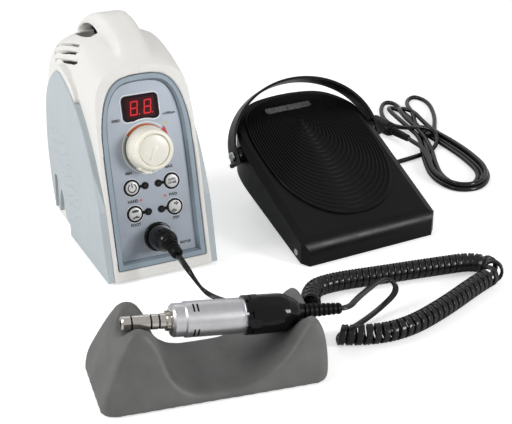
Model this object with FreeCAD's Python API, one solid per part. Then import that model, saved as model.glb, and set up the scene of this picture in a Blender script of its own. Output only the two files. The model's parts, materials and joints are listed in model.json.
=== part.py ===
"""Dental lab micromotor set: control unit, motor handpiece, rest and foot pedal.

Millimetres, +Z up. The origin is the centre of the control unit's sole on the table. The
unit's panel faces -Y. Panel pieces are drawn in the panel's own plane: u across, v up the
slope, w outwards.
"""
import FreeCAD, Part
import math
import os
from FreeCAD import Vector, Placement, Rotation

os.makedirs("parts", exist_ok=True)

# Control unit
unit_depth = 150.0
body_half = 37.0
cover_half = 42.0
cover_round = 1.2
case_bottom = 1.5
wall = 2.5
floor_half = 33.7
lean = 14.35
hood_depth = 64.0
hood_back = 82.0
handle_half = 11.4
handle_round = 3.6
back_round = 5.0
scoop_floor = 139.0
bezel_set_back = 0.2
bezel_slope = 0.35
panel_depth = 4.2
panel_thick = 2.0
module_face = -7.2
seat_gap = 0.15
rear_half = 26.0

# Panel controls
knob_v = 93.4
knob_r = 16.1
knob_rim_r = 14.5
knob_height = 15.6
knob_lift = 0.8
cap_r = 11.4
shaft_r = 3.0
running_gap = 0.05
button_u = 15.1
button_rows = (66.9, 48.0)
button_r = 4.8
ring_r = 6.05
lobe_u = 5.0
lobe_r = 2.6
lamp_r = 1.5
window_u = -1.35
window_v = 122.5
window_size = (27.3, 18.4)
socket_v = 28.7
flange_r = 10.7
plug_pin_r = 5.0
boot_start = 18.6
boot_droop = 26.0
boot_len = 15.5

# Handpiece, measured from the tip of its nose
nose_r = 4.75
nose_len = 31.0
housing_r = 11.2
housing_end = 79.0
sleeve_r = 12.4
sleeve_end = 113.0
relief_end = 142.5
spindle_r = 1.5
nose_up = 5.2
rest_yaw = -8.3
nose_place = Vector(-51.0, 0, 45.0)

# Rest
rest_place = Vector(-26.0, -205.0, 0)
rest_clear = 0.4
nose_clear = 1.4

# Foot pedal
pedal_place = Vector(153.4, -105.1, 0)
pedal_yaw = 3.4
pedal_half = 58.7
pedal_len = 136.5
pedal_front = 18.0
pedal_slope = 24.3
skirt_slope = 17.3
skirt_lift = 0.6
shell = 3.0
hinge_y = 12.0
hinge_z = 8.5
hinge_r = 2.5
spring_y = 95.0
spring_x = 24.0
spring_r = 6.0
spring_wire = 0.7
spring_bottom = 4.0
spring_top = 35.0
strap_y = 98.9
strap_z = 52.5
strap_half = 64.5
strap_boss = 61.5
strap_height = 51.0
strap_width = 12.5
strap_thick = 2.0
strap_back = 33.5
screw_r = 2.5
pedal_feet = ((-44, 14), (44, 14), (-28, 106), (28, 106))
lead_y = 116.0
lead_exit_z = 6.5
grommet_x = 37.0
grommet_len = 7.0

# Leads
twin_d = 4.4
coil_d = 14.0
round_d = 4.0
hank_d = 11.0
lead_z = 2.4
coil_z = 7.2

X, Y, Z = Vector(1, 0, 0), Vector(0, 1, 0), Vector(0, 0, 1)
unit_front = -unit_depth / 2
sine, cosine = math.sin(math.radians(lean)), math.cos(math.radians(lean))
panel_out = Vector(0, -cosine, sine)
panel_frame = Placement(Vector(0, unit_front, 0), Rotation(X, Vector(0, sine, cosine), panel_out, "XYZ"))
rest_frame = Placement(rest_place, Rotation(Z, rest_yaw))
nose_frame = rest_frame.multiply(Placement(nose_place, Rotation(Y, 90 + nose_up)))
pedal_frame = Placement(pedal_place, Rotation(Z, pedal_yaw))
nodes = {}


def save(name, shape):
    nodes[name] = shape
    shape.exportStep("parts/%s.step" % name)


def placed(shape, frame):
    copy = shape.copy()
    copy.Placement = frame.multiply(copy.Placement)
    return copy


def box(x0, x1, y0, y1, z0, z1):
    return Part.makeBox(x1 - x0, y1 - y0, z1 - z0, Vector(x0, y0, z0))


def rod(radius, start, length, way=Z):
    return Part.makeCylinder(radius, length, start, way)


def joined(shapes):
    whole = shapes[0].fuse(shapes[1:])
    return whole.removeSplitter()


def prism(points, way):
    """A straight-sided block from the corners of its outline."""
    wire = Part.makePolygon(list(points) + [points[0]])
    return Part.Face(wire).extrude(way)


def turned(profile):
    """A body of revolution about Z from (radius, height) corners."""
    points = [Vector(r, 0, z) for r, z in profile]
    wire = Part.makePolygon(points + [points[0]])
    return Part.Face(wire).revolve(Vector(), Z, 360)


def smooth(points, closed=False):
    curve = Part.BSplineCurve()
    curve.interpolate(Points=points, PeriodicFlag=closed)
    return curve.toShape()


def rounded_plate(width, height, corner, thick):
    """A flat plate centred on the origin with round corners, standing on z = 0."""
    plate = box(-width / 2, width / 2, -height / 2, height / 2, 0, thick)
    upright = [e for e in plate.Edges if abs(e.tangentAt(e.FirstParameter).z) > 0.9]
    return plate.makeFillet(corner, upright)


def mirrored(shape):
    return shape.mirror(Vector(), X)


# Case

def arch(points, where):
    """A closed upright outline, symmetrical about x = 0, from its right-hand points."""
    right = [where(x, z) for x, z in points]
    left = [where(-x, z) for x, z in reversed(points[:-1])]
    return Part.Wire([smooth(right + left), Part.LineSegment(left[-1], right[0]).toShape()])


def scaled(points, inset):
    """The outline's points drawn in by the wall."""
    low = points[0][1]
    top = points[-1][1]
    across = (body_half - inset) / body_half
    down = (top - inset - low) / (top - low)
    return [(x * across, low + (z - low) * down) for x, z in points]


front_arch = [(37, 1.5), (37, 38), (37, 70), (36.8, 98), (35.6, 119), (30, 138.5), (14.5, 147),
              (0, 148.3)]
mid_arch = [(37, 1.5), (37, 42), (37, 78), (36.8, 108), (35.4, 130), (29.5, 145.8), (14, 153.4),
            (0, 154.8)]
hood_arch = [(37, 1.5), (37, 44), (37, 80), (36.8, 114), (35.2, 134), (29.5, 150), (14, 158.6), (0, 160)]
rear_arch = [(36.5, 1.5), (36.5, 44), (36.5, 88), (36.3, 116), (34.6, 133), (29, 145.5), (14.5, 152.2),
             (0, 154)]
rear_sections = [(64, 155.5, 36.5), (90, 155.8, 36.5), (110, 154, 36.5), (128, 148.8, 36.3),
                 (141, 140.5, 35.6), (150, 127, 33.5)]


def on_front(inset):
    return lambda x, z: panel_frame.multVec(Vector(x, z / cosine, -inset))


def at_depth(y):
    return lambda x, z: Vector(x, unit_front + y, z)


def hood(inset):
    sections = [
        arch(scaled(front_arch, inset), on_front(inset)),
        arch(scaled(mid_arch, inset), at_depth(50 + inset)),
        arch(scaled(hood_arch, inset), at_depth(hood_depth + inset)),
        arch(scaled(hood_arch, inset), at_depth(hood_back + 6)),
    ]
    body = Part.makeLoft(sections, True, False)
    back = hood_back - inset
    cutter = prism(
        [
            Vector(-60, unit_front + back - 10, case_bottom - 1),
            Vector(-60, unit_front + back - 10, 123),
            Vector(-60, unit_front + back, 157),
            Vector(-60, unit_front + back + 2, 180),
            Vector(-60, unit_front + 120, 180),
            Vector(-60, unit_front + 120, case_bottom - 1),
        ],
        Vector(120, 0, 0),
    )
    return body.cut(cutter)


def rear_body(inset):
    """The round-backed body behind the hood; its arch gets lower and narrower towards the back."""
    low = rear_arch[0][1]
    tall = rear_arch[-1][1] - low
    sections = []
    for y, top, half in rear_sections:
        across = (half - inset) / rear_arch[0][0]
        up = (top - inset - low) / tall
        points = [(x * across, low + (z - low) * up) for x, z in rear_arch]
        sections.append(arch(points, at_depth(y - inset if y > 80 else y)))
    body = Part.makeLoft(sections, True, False)
    rear = unit_front + unit_depth - inset - 0.1
    back = [e for e in body.Edges if e.BoundBox.YMin > rear and e.Length > 200]
    return body.makeFillet(back_round - inset, back)


def finger_scoop(grow):
    """The room for the fingers under the handle, a dish in the top of the rear body."""
    scoop = rounded_plate(38 + 2 * grow, 44 + 2 * grow, 16 + grow, 40)
    scoop.translate(Vector(0, unit_front + 110, scoop_floor - grow))
    return scoop


handle_outer = [(40, 148), (50, 160.5), (64, 168.8), (80, 171.6), (97, 169.6), (112, 164.8),
                (128, 157.2), (141, 148.5), (148, 138), (149, 129)]
handle_inner = [(138, 129), (141.5, 139), (137.5, 146), (129, 151.4), (118.8, 156), (104.6, 159),
                (94.7, 158.4), (87, 155), (78, 147), (62, 140)]


def handle():
    outer = [Vector(0, unit_front + y, z) for y, z in handle_outer]
    inner = [Vector(0, unit_front + y, z) for y, z in handle_inner]
    edges = [smooth(outer), Part.LineSegment(outer[-1], inner[0]).toShape()]
    edges += [smooth(inner), Part.LineSegment(inner[-1], outer[0]).toShape()]
    face = Part.Face(Part.Wire(edges))
    face.translate(Vector(-handle_half, 0, 0))
    bar = face.extrude(Vector(2 * handle_half, 0, 0))
    lengthwise = [e for e in bar.Edges if e.BoundBox.XLength < 0.01]
    lengthwise.sort(key=lambda e: e.Length)
    return bar.makeFillet(handle_round, lengthwise[-2:])


def bezel_face(inset, height):
    """The bezel's arch drawn in by inset, at a height over the panel plane."""
    sides = [(33.6, 9.6), (33.6, 14), (33.6, 60), (33.4, 98), (32.6, 110), (30.9, 120), (28.1, 130),
             (22.6, 139.6), (16, 144.3), (8, 145.9), (0, 146.3)]
    low = sides[0][1] + inset
    right = []
    for u, v in sides:
        away = math.hypot(u, max(v - 96, 0))
        reach = 1 - inset / away
        right.append((u * reach, 96 + (v - 96) * reach if v > 96 else max(v, low)))
    right = [right[0]] + [p for p in right[1:] if p[1] > low + 1]
    points = [Vector(u, v, height) for u, v in right]
    points += [Vector(-u, v, height) for u, v in reversed(right[:-1])]
    edges = [smooth(points), Part.LineSegment(points[-1], points[0]).toShape()]
    return Part.Face(Part.Wire(edges))


def bezel_arch(inset, start, end):
    return bezel_face(inset, start).extrude(Vector(0, 0, end - start))


# Each shoulder slot from its deep end at the hood to its shallow end at the back
vent_lines = [((-25, 80, 153.5), (-31.5, 128, 140)), ((-29.5, 76, 149.5), (-34, 127, 135)),
              ((-33, 72, 143.5), (-35.6, 122, 131))]
vent_width = 2.3
vent_depth = 7.0


def vent_slots():
    """Three tapering slots in each shoulder, deepest where they meet the hood."""
    slots = []
    for near, far in vent_lines:
        start = Vector(near[0], unit_front + near[1], near[2])
        end = Vector(far[0], unit_front + far[1], far[2])
        out = Vector(start.x, 0, start.z - 110).normalize()
        across = (end - start).cross(out).normalize() * vent_width
        corners = [start + out * 4, start - out * vent_depth, end + out]
        slot = prism([corner - across / 2 for corner in corners], across)
        slots += [slot, mirrored(slot)]
    return Part.makeCompound(slots)


def case_halves():
    solid = hood(0).fuse(rear_body(0)).cut(finger_scoop(0)).fuse([handle(), cover_lip()])
    hollow = hood(wall).fuse(rear_body(wall)).cut(finger_scoop(wall))
    floor_cut = box(-floor_half, floor_half, unit_front + 6, 75 - wall, -1, 12)
    whole = solid.cut(hollow).cut(floor_cut)
    whole = whole.cut(placed(bezel_arch(0, -14, 4), panel_frame))
    whole = whole.cut(box(-rear_half, rear_half, 60, 90, 8, 98)).cut(vent_slots())
    bosses = []
    for x in (-30.5, 30.5):
        for y in (-52.0, 52.0):
            web = box(*sorted((x, x * 1.15)), y - 2, y + 2, 4.2, 18.2)
            boss = rod(4.2, Vector(x, y, 4.2), 14).fuse(web)
            bosses.append(boss.cut(rod(1.5, Vector(x, y, 4), 12)))
    whole = whole.fuse(bosses)
    save("case_left", whole.common(box(-60, 0, -90, 90, -5, 200)))
    save("case_right", whole.common(box(0, 60, -90, 90, -5, 200)))


# Side covers

cover_curve = [(123, 12), (129, 30), (134, 60), (132, 88), (126, 107), (113, 121.5), (97, 130),
               (82, 127.5), (60, 116.5), (39, 96), (24, 73), (14, 52)]
cover_foot = [(10.6, 38), (2.2, 2), (87, 2), (87, 10), (96, 13)]
notch = [(96, 13), (99.5, 25.5), (104.3, 33), (108.4, 25.5), (110, 13)]
pull_slot = (112.5, 120.0, 41.0)
hole_r = 0.55


def beside(x, spot):
    return Vector(x, unit_front + spot[0], spot[1])


def cover_outline(x):
    """The cover's side view, with a round notch and an upright slot behind its foot."""
    curve = [beside(x, spot) for spot in cover_curve]
    corners = [beside(x, spot) for spot in cover_foot]
    front, back, top = pull_slot
    corners_of_slot = [(front, 12.5), (front, top - 3.7), (back, top - 3.7), (back + 1, 12)]
    slot = [beside(x, spot) for spot in corners_of_slot]
    edges = [Part.LineSegment(a, b).toShape() for a, b in zip(corners, corners[1:])]
    edges.append(smooth([beside(x, spot) for spot in notch]))
    edges.append(Part.LineSegment(beside(x, notch[-1]), slot[0]).toShape())
    edges.append(Part.LineSegment(slot[0], slot[1]).toShape())
    edges.append(Part.Arc(slot[1], beside(x, ((front + back) / 2, top)), slot[2]).toShape())
    edges.append(Part.LineSegment(slot[2], slot[3]).toShape())
    edges.append(Part.LineSegment(slot[3], curve[0]).toShape())
    edges.append(smooth(curve))
    edges.append(Part.LineSegment(curve[-1], corners[0]).toShape())
    return Part.Face(Part.Wire(edges))


def cover_block():
    return cover_outline(body_half - 4).extrude(Vector(cover_half - body_half + 4, 0, 0))


def breathing_holes():
    """Small round holes through the cover, in short rows that climb towards the back."""
    holes = []
    for row in range(10):
        z = 21.3 + 6.7 * row
        y = 59.5 + 0.0115 * (z - 21) ** 2
        for column in range(5):
            lift = 1.3 * math.sin(2.1 * column + row)
            spot = beside(body_half - 1, (y + 5.9 * column, z - 1.3 * column + lift))
            holes.append(rod(hole_r, spot, 8, X))
    return Part.makeCompound(holes)


def cover_lip():
    """The case's raised lip over the front half of each cover's top, and the pad in its notch."""
    above = [(60, 120), (66, 126.5), (76, 132), (87, 134.8), (97, 134.6), (107, 131.2), (118, 123)]
    below = [(110, 118), (97, 123), (82, 120), (64, 112)]
    rim = [smooth([beside(body_half - 5, p) for p in above]),
           Part.LineSegment(beside(body_half - 5, above[-1]), beside(body_half - 5, below[0])).toShape(),
           smooth([beside(body_half - 5, p) for p in below]),
           Part.LineSegment(beside(body_half - 5, below[-1]), beside(body_half - 5, above[0])).toShape()]
    lip = Part.Face(Part.Wire(rim)).extrude(Vector(8.6, 0, 0)).cut(cover_block())
    foot = [beside(body_half - 2, p) for p in ((98, 8), (101, 24), (104.4, 30.5), (107, 24), (108, 8))]
    pad = Part.Wire([smooth(foot), Part.LineSegment(foot[-1], foot[0]).toShape()])
    pad = Part.Face(pad).extrude(Vector(4.6, 0, 0))
    return Part.makeCompound([lip, pad, mirrored(lip), mirrored(pad)])


def side_covers():
    cover = cover_block()
    rim = [e for e in cover.Edges if e.BoundBox.XMin > cover_half - 0.1 and e.Length > 100]
    cover = cover.makeFillet(cover_round, rim)
    cover = cover.cut(breathing_holes()).cut(hood(0)).cut(rear_body(0))
    cover = max(cover.Solids, key=lambda s: s.Volume)
    save("side_cover_right", cover)
    save("side_cover_left", mirrored(cover))


# Panel

def on_panel(shape):
    return placed(shape, panel_frame)


def bezel_and_panel():
    rim = bezel_arch(seat_gap, -7.5, -bezel_set_back)
    deep = bezel_face(5.2 + 0.5 * bezel_slope, -panel_depth - 0.5).OuterWire
    mouth = bezel_face(5.2 - (panel_depth + 0.5) * bezel_slope, 0.5).OuterWire
    opening = Part.makeLoft([deep, mouth], True, True)
    pocket = bezel_arch(3.0, -8, -panel_depth)
    save("front_bezel", on_panel(rim.cut(opening).cut(pocket)))
    panel = bezel_arch(3.0 + seat_gap, -panel_depth - panel_thick, -panel_depth)
    holes = [window_shape(0, -8, 1), rod(4.4, Vector(0, knob_v, -8), 9)]
    holes.append(rod(6.6, Vector(0, socket_v, -8), 9))
    for u, v, side in button_spots():
        holes.append(rod(button_r + 0.2, Vector(u, v, -8), 9))
        holes.append(rod(lamp_r, Vector(side * lobe_u, v, -8), 9))
    save("front_panel", on_panel(panel.cut(holes)))


def window_shape(grow, start, end):
    width, height = window_size
    plate = rounded_plate(width + 2 * grow, height + 2 * grow, 4.0, end - start)
    plate.translate(Vector(window_u, window_v, start))
    return plate.cut(rod(21.2 - grow, Vector(0, knob_v, start - 1), end - start + 2))


def button_spots():
    return [(side * button_u, v, side) for v in button_rows for side in (-1, 1)]


def display():
    front = -panel_depth + 0.3
    window = window_shape(-seat_gap, -panel_depth - panel_thick, front)
    ledge = window_shape(0.6, module_face, -panel_depth - panel_thick)
    save("display_window", on_panel(window.fuse(ledge)))
    module = box(-14, 11.4, 114.8, 130.2, -12, module_face)
    module = module.cut(box(-13, 10.4, 115.8, 129.2, module_face - 0.5, -6))
    low = module_face - 0.7
    for u in (-6.3, 3.7):
        digit = box(u - 3.6, u + 3.6, 117.2, 127.8, low, low + 0.5)
        for v in (118.6, 123.2):
            digit = digit.cut(box(u - 2.2, u + 2.2, v, v + 3.2, low - 1, -6))
        module = module.fuse([digit, rod(0.6, Vector(u + 4.5, 117.8, low), 0.5)])
    save("display_module", on_panel(module))


def buttons():
    surrounds = []
    lamps = []
    names = ("source_button", "direction_button", "power_button", "cruise_button")
    face = -panel_depth + 0.6
    for (u, v, side), name in zip(sorted(button_spots(), key=lambda s: s[1]), names):
        ring = rod(ring_r, Vector(u, v, -panel_depth), 0.6)
        lobe = rod(lobe_r, Vector(side * lobe_u, v, -panel_depth), 0.6)
        bar = box(min(u, side * lobe_u), max(u, side * lobe_u), v - 1.1, v + 1.1, -panel_depth, face)
        black = joined([ring, lobe, bar])
        black = black.cut([rod(button_r + 0.2, Vector(u, v, -6), 5),
                           rod(lamp_r, Vector(side * lobe_u, v, -6), 5)])
        surrounds.append(black)
        lens = Vector(side * lobe_u, v, 0.3 - panel_depth)
        dome = Part.makeSphere(lamp_r, lens).common(rod(lamp_r, lens, 0.8))
        lamps.append(rod(lamp_r, Vector(lens.x, v, -11), 11 + lens.z).fuse(dome))
        cap = rod(button_r, Vector(u, v, -8), 8 - panel_depth + 1.2)
        rim = max(cap.Edges, key=lambda e: e.CenterOfMass.z if e.Length > 9 else -99)
        cap = cap.makeFillet(0.5, [rim])
        save(name, on_panel(cap.fuse(rod(1.6, Vector(u, v, -9.9), 2.4))))
    save("button_surrounds", on_panel(Part.makeCompound(surrounds)))
    save("indicator_lamps", on_panel(Part.makeCompound(lamps)))


def front_board():
    board = box(-24, 24, 41, 108, -13.6, -12).fuse(box(-16, 16, 108, 132, -13.6, -12))
    switches = [box(u - 3, u + 3, v - 3, v + 3, -12, -11) for u, v, side in button_spots()]
    board = joined([board] + switches)
    save("front_board", on_panel(board.cut(rod(4.4, Vector(0, knob_v, -14), 3))))


def knob_and_shaft():
    body = rod(8.5, Vector(0, knob_v, -22), 8.4)
    bush = rod(4.3, Vector(0, knob_v, -13.6), 14)
    bore = rod(shaft_r + running_gap, Vector(0, knob_v, -20), 22)
    tags = box(-6, 6, knob_v - 15, knob_v - 8, -16.2, -15)
    save("speed_potentiometer", on_panel(body.fuse([bush, tags]).removeSplitter().cut(bore)))
    shaft = rod(shaft_r, Vector(0, knob_v, -19), 26)
    save("knob_shaft", on_panel(shaft))
    low = -panel_depth + knob_lift
    high = low + knob_height
    profile = [(0, low), (knob_r, low), (knob_r, low + 3), (knob_rim_r, high - 1.6),
               (knob_rim_r - 1.6, high), (cap_r + 0.1, high), (cap_r + 0.1, high - 1.2), (0, high - 1.2)]
    knob = turned(profile)
    tab_high = high - 2.6
    tab = turned([(knob_r - 2, low), (knob_r + 1.3, low), (knob_rim_r + 1.0, tab_high),
                  (knob_rim_r - 2, tab_high)])
    tab = tab.common(prism([Vector(0, 0, -4), Vector(-14, -22, -4), Vector(-4, -30, -4)],
                           Vector(0, 0, 24)))
    room_high = high - 3.4
    room = turned([(4.9, low - 1), (knob_r - 2, low - 1), (knob_rim_r - 2, room_high), (4.9, room_high)])
    knob = knob.fuse(tab).cut(room)
    knob = knob.cut(rod(5.0, Vector(0, 0, low - 1), 2.2 - low)).cut(rod(shaft_r, Vector(0, 0, -5), 12))
    knob.translate(Vector(0, knob_v, 0))
    save("speed_knob", on_panel(knob))
    cap = rod(cap_r, Vector(0, 0, high - 1.2), 0.7)
    mark = high - 0.5
    tail = prism([Vector(-1.3, 0.4, mark), Vector(2.0, 0.1, mark), Vector(-1.8, -7.4, mark)],
                 Vector(0, 0, 0.4))
    cap = cap.fuse(joined([rod(1.7, Vector(0.4, 0.8, mark), 0.4), tail]))
    cap.translate(Vector(0, knob_v, 0))
    save("knob_cap", on_panel(cap))


def socket_and_plug():
    flange = turned([(plug_pin_r, -17), (6.5, -17), (6.5, -panel_depth), (flange_r, -panel_depth),
                     (flange_r, -2.9), (flange_r - 0.6, -2.3), (plug_pin_r, -2.3)])
    back = rod(plug_pin_r, Vector(0, 0, -17), 4)
    socket = flange.fuse(back)
    socket.translate(Vector(0, socket_v, 0))
    save("motor_socket", on_panel(socket.removeSplitter()))
    plug = turned([(0, -12), (plug_pin_r, -12), (plug_pin_r, -2.3), (9.0, -2.3), (9.2, 0), (8.95, 5),
                   (8.6, 10.5), (7.7, 14.8), (6.3, 18), (5.4, 19.4), (0, 19.4)])
    boot = turned([(0, -2.5), (4.9, -2.5), (4.9, 2), (4.1, 2.2), (4.1, 3.6), (4.7, 3.8), (4.7, 5.6),
                   (4.0, 5.8), (4.0, 7.2), (4.5, 7.4), (4.4, 12), (3.9, boot_len), (0, boot_len)])
    boot = placed(boot, Placement(Vector(0, 0, boot_start), Rotation(X, boot_droop)))
    whole = plug.fuse(boot).removeSplitter()
    whole.translate(Vector(0, socket_v, 0))
    save("motor_plug", on_panel(whole))


# Inside and behind the unit

def base_and_feet():
    plate = box(-floor_half + seat_gap, floor_half - seat_gap, -68, 72, 1.5, 4)
    sole = box(-33, 33, -66, 70, 0, 1.5)
    plate = plate.fuse(sole).removeSplitter()
    pads = [rod(6, Vector(x, y, 0), 1.2) for x in (-24, 24) for y in (-58, 60)]
    seats = [rod(6, Vector(x, y, -1), 2.2) for x in (-24, 24) for y in (-58, 60)]
    screws = []
    for x in (-30.5, 30.5):
        for y in (-52.0, 52.0):
            seats += [rod(2.9, Vector(x, y, -1), 3.2), rod(1.6, Vector(x, y, -1), 8)]
            screws.append(joined([rod(2.7, Vector(x, y, 0.7), 1.5), rod(1.5, Vector(x, y, 0.7), 12)]))
    posts = [rod(2.5, Vector(x, y, 4), 6) for x in (-24, 24) for y in (-55, 10)]
    save("base_plate", joined([plate.cut(seats)] + posts))
    save("case_screws", Part.makeCompound(screws))
    soles = [placed(rod(6, Vector(x, y, 0), 1.2), pedal_frame) for x, y in pedal_feet]
    save("rubber_feet", Part.makeCompound(pads + soles))


def electronics():
    board = box(-25.5, 25.5, -60, 14, 10, 11.6)
    chips = [box(-20, -8, -20, -4, 11.6, 15), box(4, 14, -8, 8, 11.6, 14),
             rod(5, Vector(18, -24, 11.6), 14), rod(5, Vector(-19, 6, 11.6), 14),
             box(-8, 6, -34, -26, 11.6, 18)]
    save("main_board", joined([board] + chips))
    core = box(-25, 25, 20, 60, 4, 48)
    core = core.cut([box(-17, -9, 19, 61, 11, 41), box(9, 17, 19, 61, 11, 41)])
    winding = box(-17, 17, 17, 63, 11, 41).cut(box(-9, 9, 20, 60, 4, 48))
    save("transformer", joined([core, winding]))


def rear_fittings():
    reach = rear_half - seat_gap
    plate = box(-reach, reach, 72.5, 74.6, 8 + seat_gap, 98 - seat_gap)
    flange = box(-rear_half - 1.9, rear_half + 1.9, 70.2, 72.5, 5, 101)
    holes = [box(-14, 14, 60, 90, 14, 34), box(-14, 14, 60, 90, 42, 60), rod(7, Vector(0, 60, 76), 30, Y)]
    save("rear_panel", joined([plate, flange]).cut(holes))
    inlet = box(-14, 14, 66, 74.6, 14, 34).fuse(box(-15.5, 15.5, 74.6, 76.1, 12.5, 35.5))
    inlet = inlet.cut(box(-11.5, 11.5, 68.5, 80, 16.5, 31.5))
    pins = [box(x - 1, x + 1, 67.5, 75, 23, 27) for x in (-7, 0, 7)]
    save("mains_inlet", joined([inlet] + pins))
    switch = box(-14, 14, 60, 74.6, 42, 60).fuse(box(-15.5, 15.5, 74.6, 76.1, 40.5, 61.5))
    save("mains_switch", switch.cut(box(-11.6, 11.6, 66, 80, 43.4, 58.6)))
    rocker = prism([Vector(-10.9, 70, 51 - 5.6), Vector(-10.9, 76.4, 51 - 6.6), Vector(-10.9, 75.2, 51),
                    Vector(-10.9, 77.9, 51 + 6.2), Vector(-10.9, 70.6, 51 + 6.0)], Vector(21.8, 0, 0))
    pivot = rod(1.4, Vector(-11.4, 73.5, 51), 22.8, X)
    save("mains_rocker", joined([rocker, pivot]))
    socket = rod(7, Vector(0, 64, 76), 10.6, Y).fuse(rod(9, Vector(0, 74.6, 76), 1.4, Y))
    socket = socket.cut(rod(5.2, Vector(0, 67, 76), 12, Y))
    turns = (0, 0.8, 1.6, 2.4, 3.1)
    holes = [rod(0.6, Vector(2.5 * math.cos(a), 65, 76 + 2.5 * math.sin(a)), 3, Y) for a in turns]
    save("pedal_socket", socket.cut(holes))


# Handpiece, along +Z from its nose before it is laid on the rest

def handpiece():
    nose = turned([(2.2, 0), (4.1, 0), (nose_r, 0.9), (nose_r, 5.6), (4.3, 5.8), (4.3, 6.6),
                   (nose_r, 6.8), (nose_r, 17.6), (4.3, 17.8), (4.3, 18.6), (nose_r, 18.8),
                   (nose_r, 22.8), (4.3, 23.0), (4.3, 23.8), (nose_r, 24.0), (nose_r, nose_len),
                   (8.6, nose_len), (8.6, 33), (3.2, 33), (3.2, 12), (2.2, 12)])
    save("nose_tube", placed(nose, nose_frame))
    collar = turned([(nose_r, 27.6), (5.9, 27.6), (6.3, 28.1), (6.3, 30.2), (7.4, 30.6), (7.4, nose_len),
                     (nose_r, nose_len)])
    notches = []
    for i in range(12):
        notch = box(5.4, 9, -0.7, 0.7, 27, 30.2)
        notches.append(placed(notch, Placement(Vector(), Rotation(Z, i * 30))))
    save("toothed_collar", placed(collar.cut(notches), nose_frame))
    housing = turned([(8.6, nose_len), (9.4, nose_len), (10.4, 32.4), (10.4, 38.6), (housing_r, 39.6),
                      (housing_r, 74.6), (10.7, 75), (10.7, 76.2), (housing_r, 76.6), (housing_r, 78.2),
                      (9.9, housing_end), (9.9, housing_end + 6), (9.4, housing_end + 6), (9.4, 33),
                      (8.6, 33)])
    save("motor_housing", placed(housing, nose_frame))
    magnet = turned([(6.6, 40), (9.4, 40), (9.4, 70), (6.6, 70)])
    save("stator_magnet", placed(magnet, nose_frame))
    front = turned([(spindle_r, 34), (9.4, 34), (9.4, 38), (spindle_r, 38)])
    rear = turned([(spindle_r, 81.6), (9.4, 81.6), (9.4, 84.6), (spindle_r, 84.6)])
    gap = rod(spindle_r + running_gap, Vector(0, 0, 30), 70)
    save("motor_bearings", placed(Part.makeCompound([front.cut(gap), rear.cut(gap)]), nose_frame))
    brushes = [box(4.35, 9.2, -1.5, 1.5, 76, 80), box(-9.2, -4.35, -1.5, 1.5, 76, 80)]
    save("carbon_brushes", placed(Part.makeCompound(brushes), nose_frame))
    shaft = turned([(0, 3), (1.1, 3), (1.1, 8), (spindle_r, 9), (spindle_r, 86), (0, 86)])
    save("motor_shaft", placed(shaft, nose_frame))
    armature = turned([(spindle_r, 42), (6.2, 42), (6.2, 68), (4.2, 70), (4.2, 73), (4.0, 75), (4.0, 81),
                       (spindle_r, 81)])
    slots = []
    for i in range(5):
        slot = box(4.6, 8, -0.6, 0.6, 43, 67)
        slots.append(placed(slot, Placement(Vector(), Rotation(Z, i * 72))))
    save("armature", placed(armature.cut(slots), nose_frame))
    sleeve = turned([(9.9, housing_end), (sleeve_r, housing_end), (sleeve_r + 0.3, 84), (sleeve_r, 101),
                     (11.4, 105), (8.2, 111), (6.6, sleeve_end), (4.4, sleeve_end), (4.4, 104),
                     (9.9, 98)])
    facets = []
    for i in range(8):
        facet = placed(box(sleeve_r - 0.35, 20, -6, 6, 86, 104),
                       Placement(Vector(), Rotation(Z, 22.5 + i * 45)))
        facets.append(facet)
    sleeve = sleeve.cut(facets)
    teeth = []
    for i in range(6):
        tooth = placed(box(10.4, 20, -2.2, 2.2, 78, 81.2), Placement(Vector(), Rotation(Z, i * 60)))
        teeth.append(tooth)
    save("rear_sleeve", placed(sleeve.cut(teeth), nose_frame))
    ribs = [(0, 102), (4.4, 102), (4.4, sleeve_end), (5.2, sleeve_end), (4.9, 116)]
    for i in range(8):
        start = 116 + i * 3.2
        radius = 4.7 - 0.14 * i
        ribs += [(radius - 0.9, start + 0.3), (radius - 0.9, start + 1.3), (radius, start + 1.6)]
        ribs.append((radius - 0.1, start + 3.1))
    ribs += [(3.0, relief_end), (0, relief_end)]
    save("strain_relief", placed(turned(ribs), nose_frame))


# Rest

def rest():
    """A scooped block with a pair of horns at each end."""
    front = [(-71, 0), (-69.5, 8), (-62, 26), (-52, 44), (-47.5, 49), (-44, 50), (-40, 48.5), (-36, 44),
             (-31, 33), (-25, 17), (-15, 8.5), (0, 6.5), (19, 7), (37, 13), (51, 25), (59.5, 36),
             (63.5, 39.4), (67, 40), (70, 36.5), (73, 22), (74, 8), (74, 0)]
    points = [Vector(x, -40, z) for x, z in front]
    edges = [smooth(points), Part.LineSegment(points[-1], points[0]).toShape()]
    block = Part.Face(Part.Wire(edges)).extrude(Vector(0, 80, 0))
    ends = [Vector(-80, y, z) for y, z in ((-33.5, -1), (-33.5, 1), (-24.5, 38), (-21.5, 48),
                                           (-16.5, 52))]
    ends += [Vector(-80, -p.y, p.z) for p in reversed(ends)]
    block = block.common(prism(ends, Vector(160, 0, 0)))
    plan = rounded_plate(146, 67, 11, 60)
    plan.translate(Vector(1.5, 0, -1))
    block = block.common(plan)
    left_dip = rod(14.4, Vector(-90, 0, 53.4), 70, X)
    right_dip = rod(14.0, Vector(20, 0, 43.6), 70, X)
    block = block.cut([left_dip, right_dip, box(-90, -20, -14.4, 14.4, 53.4, 80),
                       box(20, 90, -14, 14, 43.6, 80)])
    room = placed(handpiece_room(), Placement(nose_place, Rotation(Y, 90 + nose_up)))
    save("handpiece_rest", placed(max(block.cut(room).Solids, key=lambda s: s.Volume), rest_frame))


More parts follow.
